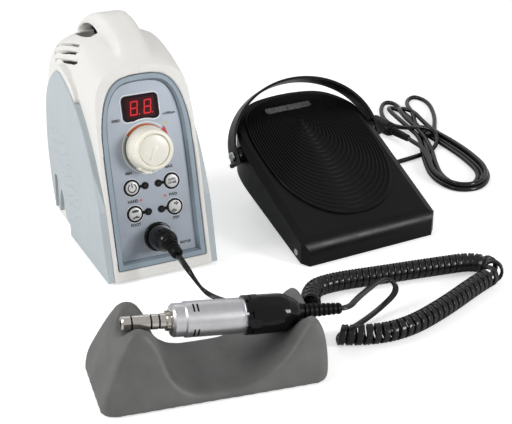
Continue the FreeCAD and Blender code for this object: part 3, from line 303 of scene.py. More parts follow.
noseTurn = (math.radians(-5.2), math.radians(8.3))
finishes = {
    "white_shell": moulded("whiteShell", (0.85, 0.84, 0.81), (0.79, 0.78, 0.75), 0.42, grain=0.10),
    "blue_cover": moulded("blueCover", (0.50, 0.55, 0.58), (0.46, 0.51, 0.54), 0.42, grain=0.14),
    "bezel": moulded("bezelBlue", (0.31, 0.38, 0.44), (0.27, 0.34, 0.40), 0.32, grain=0.08),
    "panel_film": moulded("panelFilm", (0.39, 0.43, 0.49), (0.35, 0.39, 0.45), 0.32, grain=0.05, Metallic=0.35),
    "window": moulded("smokedWindow", (0.012, 0.006, 0.010), (0.010, 0.005, 0.008), 0.10, spread=0.03, grain=0.0,
                      Specular_IOR_Level=0.25),
    "digits": moulded("displayBlock", (0.10, 0.02, 0.02), (0.08, 0.02, 0.02), 0.5),
    "cream": moulded("creamKnob", (0.95, 0.92, 0.80), (0.92, 0.88, 0.76), 0.26, grain=0.04),
    "pearl": moulded("pearlCap", (0.92, 0.90, 0.81), (0.88, 0.86, 0.77), 0.22, grain=0.04),
    "silver_cap": moulded("buttonCap", (0.62, 0.62, 0.62), (0.56, 0.56, 0.56), 0.35, grain=0.05, Metallic=0.3),
    "black_soft": moulded("blackRubber", (0.003, 0.003, 0.0035), (0.006, 0.006, 0.0065), 0.34, grain=0.15,
                          Specular_IOR_Level=0.13),
    "black_hard": moulded("blackPlastic", (0.003, 0.003, 0.0035), (0.006, 0.006, 0.0065), 0.28, grain=0.12,
                          Specular_IOR_Level=0.16),
    "black_gloss": moulded("polishedBlack", (0.002, 0.002, 0.002), (0.004, 0.004, 0.004), 0.10, spread=0.05, grain=0.02,
                           Specular_IOR_Level=0.26),
    "lamp": moulded("lampLens", (0.008, 0.005, 0.007), (0.007, 0.004, 0.006), 0.12, spread=0.04, grain=0.0),
    "board": moulded("circuitGreen", (0.03, 0.17, 0.08), (0.02, 0.13, 0.06), 0.4),
    "iron": moulded("laminatedIron", (0.16, 0.15, 0.14), (0.12, 0.11, 0.10), 0.5, Metallic=0.6),
    "steel": machined("brightSteel", (0.62, 0.62, 0.63), (0.55, 0.55, 0.56), 0.25),
    "chrome": machined("polishedChrome", (0.62, 0.59, 0.55), (0.56, 0.53, 0.49), 0.12, spread=0.10, turn=noseTurn),
    "satin_alu": machined("satinAluminium", (0.66, 0.66, 0.68), (0.60, 0.60, 0.62), 0.28, lines=0.35, turn=noseTurn),
    "brass": machined("carbonBrass", (0.72, 0.52, 0.28), (0.60, 0.44, 0.24), 0.35),
    "grey_rest": moulded("greyRest", (0.135, 0.135, 0.131), (0.105, 0.105, 0.102), 0.50, spread=0.12, drift=60.0, grain=0.35),
    "cord": moulded("cordJacket", (0.005, 0.005, 0.005), (0.008, 0.008, 0.008), 0.20, spread=0.08, grain=0.05,
                    Specular_IOR_Level=0.4),
    "plate": machined("barePlate", (0.80, 0.80, 0.80), (0.74, 0.74, 0.74), 0.22),
}
slotOf = {row["node"]: row["material_slot"] for row in frame["record"]["subparts"]}
for name, piece in nodes.items():
    piece.data.materials.clear()
    piece.data.materials.append(finishes[slotOf[name]])
print("finishes on", len(nodes), "nodes")


# Making and placing pieces

# Puts a mesh drawn in millimetres in its place, and shades it smooth up to an angle in degrees
def finishPiece(name, bm, place, slot, body=fixedBody, replaced=(), smooth=35, material=None, tidy=True):
    if tidy:
        bmesh.ops.remove_doubles(bm, verts=bm.verts, dist=0.001)
        bmesh.ops.recalc_face_normals(bm, faces=bm.faces)
    bmesh.ops.transform(bm, matrix=millimetre @ place, verts=bm.verts)
    mesh = bpy.data.meshes.new(name)
    bm.to_mesh(mesh)
    bm.free()
    mesh.shade_smooth()
    mesh.set_sharp_from_angle(angle=math.radians(smooth))
    piece = bpy.data.objects.new(name, mesh)
    bpy.context.scene.collection.objects.link(piece)
    mesh.materials.append(material or finishes[slot])
    if body:
        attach(piece, body)
    if replaced:
        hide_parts(*replaced)
    return piece


# Lines

# The points that a smooth curve passes, with the given ones as its control points
def smoothLine(points, perRun=10):
    data = bpy.data.curves.new("route", "CURVE")
    data.dimensions = "3D"
    spline = data.splines.new("NURBS")
    spline.points.add(len(points) - 1)
    for point, place in zip(spline.points, points):
        point.co = (*place, 1)
    spline.order_u = 3
    spline.use_endpoint_u = True
    spline.resolution_u = perRun
    holder = bpy.data.objects.new("route", data)
    mesh = bpy.data.meshes.new_from_object(holder)
    line = [v.co.copy() for v in mesh.vertices]
    bpy.data.objects.remove(holder)
    bpy.data.meshes.remove(mesh)
    return line


def lengthOf(line):
    return sum((b - a).length for a, b in zip(line, line[1:]))


# The same line with its points a step apart
def evenly(line, step):
    count = max(2, round(lengthOf(line) / step))
    gap = lengthOf(line) / count
    even = [line[0].copy()]
    walked = 0.0
    for a, b in zip(line, line[1:]):
        run = (b - a).length
        while run and walked + run >= gap * len(even) - 1e-9 and len(even) < count:
            even.append(a.lerp(b, (gap * len(even) - walked) / run))
        walked += run
    even.append(line[-1].copy())
    return even


def directions(line):
    spread = [line[0]] + line + [line[-1]]
    return [(c - a).normalized() for a, c in zip(spread, spread[2:])]


# A mesh in millimetres with the surfaces of the named nodes
def copyOf(*names):
    bm = bmesh.new()
    for name in names:
        start = len(bm.verts)
        bm.from_mesh(nodes[name].data)
        bm.verts.ensure_lookup_table()
        bmesh.ops.transform(bm, matrix=nodes[name].matrix_world, verts=bm.verts[start:])
    bmesh.ops.remove_doubles(bm, verts=bm.verts, dist=0.000001)
    bmesh.ops.transform(bm, matrix=Matrix.Scale(1000, 4), verts=bm.verts)
    return bm


# Spins an open chain of (radius, height) points round Z
def lathe(bm, profile, steps=64):
    chain = [bm.verts.new((r, 0, z)) for r, z in profile]
    edges = [bm.edges.new(pair) for pair in zip(chain, chain[1:])]
    bmesh.ops.spin(bm, geom=chain + edges, cent=(0, 0, 0), axis=(0, 0, 1), angle=2 * math.pi, steps=steps,
                   use_merge=True)


# A flat piece between two heights from the points of its outline
def slab(bm, outline, low, high):
    face = bm.faces.new([bm.verts.new((x, y, low)) for x, y in outline])
    raised = bmesh.ops.extrude_face_region(bm, geom=[face], use_keep_orig=True)["geom"]
    bmesh.ops.translate(bm, vec=(0, 0, high - low), verts=[g for g in raised if isinstance(g, bmesh.types.BMVert)])


# The outline of a curved band, between two angles in degrees; taper thins its far end
def sector(centre, inner, outer, start, end, steps=24, taper=1.0):
    turns = [math.radians(start + (end - start) * i / steps) for i in range(steps + 1)]
    widths = [(outer - inner) * (1 + (taper - 1) * i / steps) for i in range(steps + 1)]
    far = [(centre[0] + (inner + w) * math.cos(a), centre[1] + (inner + w) * math.sin(a)) for a, w in zip(turns, widths)]
    near = [(centre[0] + inner * math.cos(a), centre[1] + inner * math.sin(a)) for a in reversed(turns)]
    return far + near


def ringSlab(bm, centre, inner, outer, low, high, steps=48):
    for half in (0, 180):
        slab(bm, sector(centre, inner, outer, half, half + 180, steps // 2), low, high)


def discSlab(bm, centre, radius, low, high, steps=32):
    slab(bm, [(centre[0] + radius * math.cos(2 * math.pi * i / steps), centre[1] + radius * math.sin(2 * math.pi * i / steps))
              for i in range(steps)], low, high)


# The outline of a rectangle with round corners
def rounded(width, height, corner, centre=(0, 0), steps=6):
    points = []
    for quarter, (sx, sy) in enumerate(((1, 1), (-1, 1), (-1, -1), (1, -1))):
        for i in range(steps + 1):
            turn = math.radians(90 * quarter + 90 * i / steps)
            points.append((centre[0] + sx * (width / 2 - corner) + corner * math.cos(turn),
                           centre[1] + sy * (height / 2 - corner) + corner * math.sin(turn)))
    return points


# Flat words laid on the plane z = 0, centred
def lettering(bm, words, centre, high, size, wide=1.0):
    data = bpy.data.curves.new("words", "FONT")
    data.body = words
    data.size = size
    data.align_x = "CENTER"
    data.align_y = "CENTER"
    data.offset = size * 0.055
    holder = bpy.data.objects.new("words", data)
    mesh = bpy.data.meshes.new_from_object(holder)
    start = len(bm.verts)
    bm.from_mesh(mesh)
    bm.verts.ensure_lookup_table()
    place = Matrix.Translation((centre[0], centre[1], high)) @ Matrix.Diagonal((wide, 1, 1, 1))
    bmesh.ops.transform(bm, matrix=place, verts=bm.verts[start:])
    bpy.data.objects.remove(holder)
    bpy.data.meshes.remove(mesh)


# Panel: window and digits, prints, knob, buttons and plug

panel = {"film": -4.2, "knob": (0.0, 93.4), "ink": 0.03}
window = {"size": (27.2, 18.3), "centre": (-1.35, 122.5), "corner": 3.4, "knobReach": 21.2, "high": 0.55}
digit = {"left": -9.7, "step": 10.1, "low": 117.4, "width": 5.8, "height": 10.2, "slant": 0.13, "bar": 0.98}
segments = ["top", "upperRight", "lowerRight", "bottom", "lowerLeft", "upperLeft", "middle"]


# A rounded rectangle whose lower edge bends up over the knob
def windowOutline(grow):
    width, height = window["size"]
    points = rounded(width + 2 * grow, height + 2 * grow, window["corner"] + grow, window["centre"])
    floor = window["centre"][1] - height / 2 - grow
    bend = []
    for i in range(9):
        u = -7.0 + 14.0 * i / 8
        over = panel["knob"][1] + math.sqrt(window["knobReach"] ** 2 - u * u) - grow
        bend.append((u, max(floor + 0.01, over)))
    return points[:21] + bend + points[21:]


# The seven bars of a leaning digit whose lower left corner is at u, v
def segmentShapes(u, v):
    w, h, t, s = digit["width"], digit["height"], digit["bar"], digit["slant"]
    level = {"bottom": 0.0, "middle": h / 2 - t / 2, "top": h - t}
    bars = []
    for low in level.values():
        bars.append([(0.25, low), (w - 0.25, low), (w - 0.6, low + t), (0.6, low + t)])
    for x in (0.0, w - t):
        for low in (0.25, h / 2 + 0.1):
            bars.append([(x, low), (x + t, low + 0.4), (x + t, low + h / 2 - 0.75), (x, low + h / 2 - 0.35)])
    return [[(u + x + s * y, v + y) for x, y in bar] for bar in bars]


def glowing(name, colour, strength, roughness=0.25):
    material = moulded(name, colour, tuple(c * 0.8 for c in colour), roughness, grain=0.0)
    surface = material.node_tree.nodes["Principled BSDF"]
    surface.inputs["Emission Color"].default_value = colour + (1,)
    surface.inputs["Emission Strength"].default_value = strength
    surface.inputs["Specular IOR Level"].default_value = 0.15
    return material


def makeDisplay():
    film = panel["film"]
    front = film + window["high"]
    bm = bmesh.new()
    slab(bm, windowOutline(0), film, front)
    finishPiece("windowPane", bm, panelPlace, "window", replaced=["display_window"], material=finishes["window"])
    bm = bmesh.new()
    slab(bm, rounded(21.0, 14.2, 0.6, (-1.4, 122.6)), front, front + 0.03)
    finishPiece("displayField", bm, panelPlace, "digits", material=glowing("litField", (0.035, 0.004, 0.006), 0.30))
    bm = bmesh.new()
    for place in range(2):
        u = digit["left"] + place * digit["step"]
        for bar in segmentShapes(u, digit["low"]):
            slab(bm, bar, front + 0.03, front + 0.07)
        discSlab(bm, (u + digit["width"] + 1.2, digit["low"] + 0.5), 0.52, front + 0.03, front + 0.07, 16)
    finishPiece("litSegments", bm, panelPlace, "digits", material=glowing("litRed", (0.48, 0.022, 0.024), 0.55), tidy=False)


inksAndGlow = {
    "black": moulded("blackInk", (0.018, 0.018, 0.024), (0.03, 0.03, 0.036), 0.5, grain=0.0),
    "pale": moulded("paleInk", (0.82, 0.85, 0.88), (0.78, 0.81, 0.84), 0.45, grain=0.0),
    "orange": moulded("orangeInk", (0.56, 0.13, 0.03), (0.60, 0.08, 0.025), 0.5, grain=0.0),
    "red": moulded("redInk", (0.56, 0.05, 0.035), (0.60, 0.08, 0.03), 0.5, grain=0.0),
    # Painted glow: pink colour of the discs round the red dots
    "paintedGlow": moulded("paintedGlowHalo", (0.50, 0.33, 0.38), (0.46, 0.31, 0.36), 0.5, grain=0.0),
    "olive": moulded("oliveInk", (0.24, 0.22, 0.08), (0.20, 0.20, 0.09), 0.5, grain=0.0),
    "yellow": moulded("yellowInk", (0.62, 0.58, 0.12), (0.58, 0.54, 0.10), 0.5, grain=0.0),
}
# Colour of the painted shade along the bezel's edges
edgeShadePaint = moulded("edgeShadow", (0.055, 0.065, 0.08), (0.07, 0.08, 0.095), 0.6, grain=0.0)
labels = [("SPEED", (-20.4, 115.4), 2.5, 0.90), ("x1000rpm", (19.4, 115.4), 2.3, 0.96), ("MIN", (-16.0, 77.4), 2.75, 0.98),
          ("MAX", (14.3, 77.4), 2.75, 0.98), ("HAND", (-15.3, 57.0), 2.75, 1.0), ("FWD", (15.1, 57.0), 2.75, 1.0),
          ("FOOT", (-15.3, 40.0), 2.75, 1.0), ("REV", (15.3, 39.9), 2.75, 1.0), ("MOTOR", (20.2, 20.8), 2.4, 0.96)]


bezelEdge = {"sides": [(33.6, 9.6), (33.6, 14), (33.6, 60), (33.4, 98), (32.6, 110), (30.9, 120), (28.1, 130), (22.6, 139.6),
                       (16, 144.3), (8, 145.9), (0, 146.3)], "middle": 96}


# The bezel's outline drawn in by a distance, from its lower right corner round to its lower left
def bezelLine(inset):
    middle = bezelEdge["middle"]
    low = bezelEdge["sides"][0][1] + inset
    right = []
    for u, v in bezelEdge["sides"]:
        reach = 1 - inset / math.hypot(u, max(v - middle, 0))
        right.append(Vector((u * reach, middle + (v - middle) * reach if v > middle else max(v, low), 0)))
    points = right + [Vector((-p.x, p.y, 0)) for p in reversed(right[:-1])]
    return evenly(smoothLine(points, 10), 2.5)


# Painted shade: two dark strips, one along the bezel's rim and one on the panel at the foot of the recess wall, where
# shade falls
def makeEdgeShadeLines():
    bm = bmesh.new()
    for inset, width, low, high in ((0.0, 0.42, -0.35, -0.12), (4.95, 0.5, panel["film"], panel["film"] + 0.06)):
        loops = [bezelLine(inset), bezelLine(inset + width)]
        count = min(len(loop) for loop in loops)
        rows = [[bm.verts.new((p.x, p.y, z)) for p in (loop[round(i * (len(loop) - 1) / (count - 1))] for i in range(count))]
                for loop in loops for z in (low, high)]
        rows = [rows[0], rows[1], rows[3], rows[2]]
        for row, after in zip(rows, rows[1:] + rows[:1]):
            for i in range(count):
                k = (i + 1) % count
                bm.faces.new((row[i], row[k], after[k], after[i]))
    finishPiece("bezelEdgeShadeLines", bm, panelPlace, "bezel", material=edgeShadePaint, tidy=False)


def makePrintsAndGlow():
    film, ink, knob = panel["film"], panel["ink"], panel["knob"]
    sheets = {name: bmesh.new() for name in inksAndGlow}
    for words, spot, size, wide in labels:
        lettering(sheets["black"], words, spot, film + ink, size, wide)
    slab(sheets["pale"], windowOutline(1.0), film, film + ink)
    slab(sheets["pale"], sector(knob, 18.0, 18.6, 48, 361, 96), film, film + ink)
    for u in (-15.1, 15.1):
        for v in (66.9, 48.0):
            ringSlab(sheets["pale"], (u, v), 6.0, 6.6, film, film + ink)
    slab(sheets["orange"], sector(knob, 15.2, 18.0, 142, 45, 32, 0.55), film, film + ink)
    slab(sheets["red"], sector(knob, 15.4, 19.8, 43, 6, 20, 0.25), film, film + ink)
    slab(sheets["olive"], sector(knob, 15.6, 17.0, 147, 226, 24, 0.9), film, film + ink)
    # Painted glow: a pink disc round each of these red dots, with the red dot on top
    for spot in ((-9.4, 57.1), (8.9, 57.1)):
        discSlab(sheets["paintedGlow"], spot, 1.25, film, film + ink)
        discSlab(sheets["red"], spot, 0.7, film, film + 2 * ink)
    discSlab(sheets["red"], (10.3, 77.3), 0.55, film, film + ink)
    discSlab(sheets["yellow"], (15.9, 108.5), 1.0, film, film + ink)
    for name, bm in sheets.items():
        finishPiece(name + "Sheet", bm, panelPlace, "panel_film", material=inksAndGlow[name], tidy=False)


makeDisplay()
makeEdgeShadeLines()
makePrintsAndGlow()
print("display and prints")

knobLook = {"foot": 0.8, "skirt": 16.1, "rim": 14.5, "top": 16.4, "cap": 11.4, "lean": -32}


def makeKnob():
    film = panel["film"]
    k = knobLook
    top, rim = k["top"], k["rim"]
    profile = [(5.0, k["foot"]), (k["skirt"] - 0.3, k["foot"]), (k["skirt"], k["foot"] + 0.3), (k["skirt"], 2.6),
               (k["skirt"] - 0.3, 4.4), (rim + 0.25, top - 3.4)]
    for i in range(0, 9):
        turn = math.radians(90 * i / 8)
        profile.append((rim - 2.2 + 2.2 * math.cos(turn), top - 2.2 + 2.2 * math.sin(turn)))
    profile += [(k["cap"] + 0.7, top), (k["cap"] + 0.3, top - 0.15), (k["cap"], top - 0.6), (k["cap"] - 0.05, top - 2.3),
                (k["cap"] - 0.3, top - 2.4), (0.01, top - 2.4)]
    bm = bmesh.new()
    lathe(bm, profile, steps=96)
    slab(bm, sector((0, 0), 13.6, 17.0, 232, 262, 10), k["foot"] + 0.1, 10.8)
    middle = basis((0, panel["knob"][1], film), (1, 0, 0), (0, 1, 0), (0, 0, 1))
    finishPiece("knobBody", bm, panelPlace @ middle, "cream", body="speed_knob", replaced=["speed_knob"], smooth=40)
    bm = bmesh.new()
    edge = k["cap"] - 0.45
    disc = [(edge, top - 2.3), (edge, top - 1.5), (edge - 0.25, top - 1.22)]
    disc += [(edge * share, top - 0.35 - 0.85 * share * share) for share in (0.9, 0.75, 0.6, 0.45, 0.3, 0.15, 0.001)]
    lathe(bm, disc, steps=96)
    finishPiece("knobDisc", bm, panelPlace @ middle, "pearl", body="speed_knob", replaced=["knob_cap"], smooth=40)
    bm = bmesh.new()
    lean = Matrix.Rotation(math.radians(k["lean"]), 3, "Z")
    drop = []
    for i in range(15):
        turn = math.radians(-25 + 230 * i / 14)
        drop.append(lean @ Vector((1.9 * math.cos(turn), 1.6 + 1.9 * math.sin(turn), 0)))
    drop += [lean @ Vector((-0.28, -7.6, 0)), lean @ Vector((0.28, -7.6, 0))]
    drop = [(p.x, p.y) for p in drop]
    slab(bm, drop, top - 1.2, top + 0.4)
    bmesh.ops.bevel(bm, geom=[e for e in bm.edges if all(v.co.z > top for v in e.verts)], offset=0.45, segments=3,
                    profile=0.5, affect="EDGES", material=-1)
    finishPiece("knobPointer", bm, panelPlace @ middle, "cream", body="speed_knob", smooth=50)


signInk = moulded("signInk", (0.035, 0.035, 0.04), (0.05, 0.05, 0.055), 0.5, grain=0.0)
buttons = {"power_button": (-15.1, 66.9), "cruise_button": (15.1, 66.9), "source_button": (-15.1, 48.0),
           "direction_button": (15.1, 48.0)}
cap = {"radius": 4.75, "high": 1.25, "round": 0.45}


# The printed sign on a button, about its centre
def buttonSign(bm, name, high):
    if name == "power_button":
        slab(bm, sector((0, 0), 2.55, 3.4, 118, 422, 40), high, high + 0.03)
        slab(bm, [(-0.42, 0.2), (0.42, 0.2), (0.42, 3.8), (-0.42, 3.8)], high, high + 0.03)
    elif name == "cruise_button":
        lettering(bm, "AUTO", (0, 1.2), high + 0.03, 2.0, 1.0)
        lettering(bm, "CRUISE", (0, -1.1), high + 0.03, 2.0, 0.95)
    elif name == "source_button":
        slab(bm, [(-2.7, 1.6), (-2.2, 2.6), (-1.0, 3.1), (1.4, 3.1), (2.5, 2.7), (2.8, 1.9), (1.6, 1.3), (-1.4, 1.2)], high, high + 0.03)
        slab(bm, [(-2.7, -2.9), (-2.4, -2.3), (-0.6, -1.9), (0.2, -1.2), (1.0, -1.1), (1.3, -1.8), (2.8, -2.2), (2.8, -2.8),
                  (1.5, -3.2), (0.0, -2.7), (-1.6, -3.3)], high, high + 0.03)
    else:
        for side in (1, -1):
            outer = [(0.4, 3.8), (0.4, 2.9), (-0.9, 2.9), (-0.9, 1.7), (0.4, 1.7), (0.4, 0.8), (2.7, 2.3)]
            inner = [(0.85, 2.6), (0.85, 2.4), (-0.3, 2.4), (-0.3, 2.2), (0.85, 2.2), (0.85, 2.0), (1.3, 2.3)]
            for a in range(7):
                b = (a + 1) % 7
                quad = [outer[a], outer[b], inner[b], inner[a]]
                slab(bm, [(side * (1.15 * x + 0.3), side * 1.1 * y) for x, y in quad], high, high + 0.03)


def makeButtons():
    for name, (u, v) in buttons.items():
        place = panelPlace @ Matrix.Translation((u, v, panel["film"]))
        bm = bmesh.new()
        r, h, e = cap["radius"], cap["high"], cap["round"]
        profile = [(1.0, -1.5), (r, -1.5), (r, h - e)]
        profile += [(r - e + e * math.cos(math.radians(a)), h - e + e * math.sin(math.radians(a))) for a in (30, 60, 90)]
        profile += [(2.0, h + 0.04), (0.01, h + 0.05)]
        lathe(bm, profile, steps=48)
        finishPiece(name + "Cap", bm, place, "silver_cap", body=name, replaced=[name], smooth=40)
        bm = bmesh.new()
        buttonSign(bm, name, h + 0.03)
        finishPiece(name + "Sign", bm, place, "silver_cap", body=name, material=signInk, tidy=False)


plug = {"centre": (0, 28.7), "bend": 18.6, "droop": math.radians(26), "boot": 15.5}


def makeMotorPlug():
    place = panelPlace @ Matrix.Translation((*plug["centre"], 0))
    ring = [(5.0, -3.6), (10.55, -4.15), (10.7, -3.9), (10.65, -3.2), (10.4, -2.7), (9.95, -2.4), (9.4, -2.3), (8.8, -2.35)]
    bm = bmesh.new()
    lathe(bm, ring, steps=80)
    finishPiece("socketRing", bm, place, "black_gloss", replaced=["motor_socket"], smooth=40)
    body = [(8.7, -2.4), (9.1, -1.6), (9.2, 0.0), (9.1, 3.0), (8.9, 6.5), (8.6, 10.5), (8.25, 12.8), (7.7, 14.8), (7.0, 16.6),
            (6.3, 18.0), (5.7, 18.9), (5.0, 19.4), (0.01, 19.5)]
    bm = bmesh.new()
    lathe(bm, body, steps=64)
    finishPiece("plugBody", bm, place, "black_gloss", replaced=["motor_plug"], smooth=50)
    boot = [(4.6, -2.4), (4.9, -1.0), (4.95, 1.6), (4.6, 2.1), (4.05, 2.3), (4.05, 3.2), (4.6, 3.5), (4.75, 4.2), (4.7, 5.2),
            (4.0, 5.5), (3.95, 6.4), (4.4, 6.7), (4.55, 7.4), (4.5, 8.6), (3.9, 8.9), (3.85, 9.7), (4.3, 10.0), (4.4, 12.4),
            (4.2, 14.2), (3.7, 15.2), (3.1, plug["boot"]), (0.01, plug["boot"])]
    bm = bmesh.new()
    lathe(bm, boot, steps=48)
    lean = Matrix.Translation((0, 0, plug["bend"])) @ Matrix.Rotation(plug["droop"], 4, "X")
    finishPiece("plugBoot", bm, place @ lean, "black_soft", smooth=50)


makeKnob()
makeButtons()
makeMotorPlug()
print("knob, buttons and plug")


# Handpiece: black bands, marks and the sleeve's teeth

handpiece = {"bands": [(5.75, 6.65), (17.75, 18.65), (22.95, 23.85)], "body": 11.2, "marks": [43.4, 46.0], "teeth": 9}


def makeHandpieceMarks():
    bm = bmesh.new()
    for start, end in handpiece["bands"]:
        lathe(bm, [(4.2, start), (4.42, start), (4.42, end), (4.2, end)], steps=48)
    finishPiece("noseBands", bm, nosePlace, "black_gloss", body="handpiece", smooth=30)
    bm = bmesh.new()
    r = handpiece["body"]
    for side in range(4):
        for s in handpiece["marks"]:
            slab(bm, sector((0, 0), r - 0.2, r + 0.05, 90 * side + 6, 90 * side + 38, 10), s, s + 1.15)
    finishPiece("housingMarks", bm, nosePlace, "black_hard", body="handpiece", smooth=30)
    bm = bmesh.new()
    for tooth in range(handpiece["teeth"]):
        turn = 360 / handpiece["teeth"] * tooth
        slab(bm, sector((0, 0), r - 0.3, 12.5, turn, turn + 33, 10), 77.1, 80.5)
    finishPiece("sleeveTeeth", bm, nosePlace, "black_gloss", body="handpiece", smooth=30)


# Pedal pad with fine ribs in rings

pad = {"centre": (0.7, 107.2), "rings": 22, "high": 1.75, "groove": 1.0, "side": 1.3,
       "right": [(0, 28.9), (24, 26.5), (43, 16), (49.5, -4), (50, -26), (49.2, -48), (45.5, -66), (37, -82), (24, -94),
                 (10, -99), (0, -99.5)]}


def makePad():
    outline = pad["right"] + [(-x, y) for x, y in reversed(pad["right"][1:-1])]
    ring = [Vector((x, y, 0)) for x, y in outline]
    loop = evenly(smoothLine(ring[-3:] + ring + ring[:3], 14), 2.0)
    first = min(range(len(loop) // 2), key=lambda i: (loop[i] - ring[0]).length)
    last = min(range(len(loop) // 2, len(loop)), key=lambda i: (loop[i] - ring[0]).length)
    loop = loop[first:last]
    steps = [(1.0, -0.2), (1.0, pad["side"]), (0.992, pad["high"])]
    for i in range(pad["rings"] - 1, 0, -1):
        share = i / pad["rings"]
        gap = 1 / pad["rings"]
        steps += [(share + 0.36 * gap, pad["high"]), (share + 0.22 * gap, pad["groove"]), (share - 0.02 * gap, pad["groove"]),
                  (share - 0.16 * gap, pad["high"])]
    bm = bmesh.new()
    before = None
    for share, high in steps:
        row = [bm.verts.new((p.x * share, p.y * share, high)) for p in loop]
        if before:
            for i in range(len(row)):
                k = (i + 1) % len(row)
                bm.faces.new((before[i], before[k], row[k], row[i]))
        before = row
    bm.faces.new(before)
    slope = pedal["slope"]
    u, v = pad["centre"]
    lay = basis((u, v, pedal["front"] + v * math.tan(slope)), (1, 0, 0), (0, math.cos(slope), math.sin(slope)),
                (0, -math.sin(slope), math.cos(slope)))
    finishPiece("ribbedPad", bm, pedalPlace @ lay, "black_soft", body="treadle", replaced=["treadle_pad"], smooth=30)


# Moulded bodies with soft edges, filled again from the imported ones

def remeshed(bm, size, rounds):
    mesh = bpy.data.meshes.new("rough")
    bm.to_mesh(mesh)
    bm.free()
    holder = bpy.data.objects.new("rough", mesh)
    bpy.context.scene.collection.objects.link(holder)
    grid = holder.modifiers.new("grid", "REMESH")
    grid.mode = "VOXEL"
    grid.voxel_size = size
    soft = holder.modifiers.new("soft", "SMOOTH")
    soft.factor = 0.5
    soft.iterations = rounds
    result = bmesh.new()
    result.from_object(holder, bpy.context.evaluated_depsgraph_get())
    bpy.data.objects.remove(holder)
    return result


def softened(bm, low, high, rounds):
    inside = [v for v in bm.verts if all(a <= c <= b for a, c, b in zip(low, v.co, high))]
    for _ in range(rounds):
        bmesh.ops.smooth_vert(bm, verts=inside, factor=0.5, use_axis_x=True, use_axis_y=True, use_axis_z=True)


def makeRest():
    bm = remeshed(copyOf("handpiece_rest"), 1.2, 45)
    for v in bm.verts:
        v.co.z = max(v.co.z, 0.0)
    finishPiece("softRest", bm, Matrix.Identity(4), "grey_rest", replaced=["handpiece_rest"], smooth=60, tidy=False)


blend = {"voxel": 0.86, "front": ((-24, -38, 142), (24, 12, 175)), "back": ((-19, 48, 120), (19, 80, 160))}


vents = {"lines": [((-25, 80, 153.5), (-31.5, 128, 140)), ((-29.5, 76, 149.5), (-34, 127, 135)),
                   ((-33, 72, 143.5), (-35.6, 122, 131))], "width": 2.5, "depth": 7.5, "far": 2.6}


# Tapering slots, deep where they meet the hood, as one mesh of wedges
def ventWedges():
    bm = bmesh.new()
    for near, far in vents["lines"]:
        for side in (1, -1):
            start = Vector((near[0] * side, unit["front"] + near[1], near[2]))
            end = Vector((far[0] * side, unit["front"] + far[1], far[2]))
            out = Vector((start.x, 0, start.z - 110)).normalized()
            across = (end - start).cross(out).normalized() * vents["width"] / 2
            corners = [start + out * 5, start - out * vents["depth"], end - out * vents["far"], end + out * 5]
            low = [bm.verts.new(corner - across) for corner in corners]
            high = [bm.verts.new(corner + across) for corner in corners]
            bm.faces.new(low)
            bm.faces.new(high)
            for i in range(4):
                k = (i + 1) % 4
                bm.faces.new((low[i], low[k], high[k], high[i]))
    bmesh.ops.recalc_face_normals(bm, faces=bm.faces)
    return bm


def carved(bm, cutter):
    meshes = []
    for part in (bm, cutter):
        mesh = bpy.data.meshes.new("rough")
        part.to_mesh(mesh)
        part.free()
        holder = bpy.data.objects.new("rough", mesh)
        bpy.context.scene.collection.objects.link(holder)
        meshes.append(holder)
    cut = meshes[0].modifiers.new("cut", "BOOLEAN")
    cut.operation = "DIFFERENCE"
    cut.solver = "MANIFOLD"
    cut.object = meshes[1]
    result = bmesh.new()
    result.from_object(meshes[0], bpy.context.evaluated_depsgraph_get())
    for holder in meshes:
        bpy.data.objects.remove(holder)
    return result


def makeCase():
    bm = remeshed(copyOf("case_left", "case_right"), blend["voxel"], 1)
    softened(bm, *blend["front"], 45)
    softened(bm, *blend["back"], 25)
    before = len(bm.faces)
    bm = carved(bm, ventWedges())
    print("case", before, "faces, carved", len(bm.faces))
    for v in bm.verts:
        v.co.z = max(v.co.z, 0.0)
    for name, side in (("caseSkinLeft", -1), ("caseSkinRight", 1)):
        half = bm.copy()
        cut = bmesh.ops.bisect_plane(half, geom=half.verts[:] + half.edges[:] + half.faces[:], plane_co=(side * 0.02, 0, 0),
                                     plane_no=(-side, 0, 0), clear_outer=True)["geom_cut"]
        bmesh.ops.holes_fill(half, edges=[g for g in cut if isinstance(g, bmesh.types.BMEdge)])
        finishPiece(name, half, Matrix.Identity(4), "white_shell",
                    replaced=["case_left" if side < 0 else "case_right"], smooth=45, tidy=False)
    bm.free()


makeHandpieceMarks()
makePad()
makeRest()
makeCase()
print("handpiece marks, pad, rest and case")


# Cords

twin = {"width": 4.4, "strand": 1.17, "sides": 10, "neck": 0.62}


# The cable's section: two round strands joined by a web, wide across X
def twinRing(bm):
    half = twin["width"] / 2 - twin["strand"]
    ring = bmesh.ops.create_circle(bm, segments=2 * twin["sides"], radius=twin["strand"])["verts"]
    for vert in ring:
        side = math.copysign(1, vert.co.x)
        lean = abs(vert.co.x) / twin["strand"]
        vert.co.x = side * (half + vert.co.x * side) if lean > 0.05 else 0
        vert.co.y = vert.co.y * (1 if lean > 0.05 else twin["neck"])
    return [e for e in bm.edges if all(v in ring for v in e.verts)]


# Draws a closed ring of edges out through a list of places
def sweep(bm, ring, places):
    start = [v for v in {v for e in ring for v in e.verts}]
    back = places[0].inverted()
    bmesh.ops.transform(bm, matrix=places[0], verts=start)
    bmesh.ops.edgeloop_fill(bm, edges=ring)
    for before, place in zip(places, places[1:]):
        out = bmesh.ops.extrude_edge_only(bm, edges=ring)["geom"]
        verts = [g for g in out if isinstance(g, bmesh.types.BMVert)]
        ring = [g for g in out if isinstance(g, bmesh.types.BMEdge) and all(v in verts for v in g.verts)]
        bmesh.ops.transform(bm, matrix=place @ before.inverted(), verts=verts)
    bmesh.ops.edgeloop_fill(bm, edges=ring)


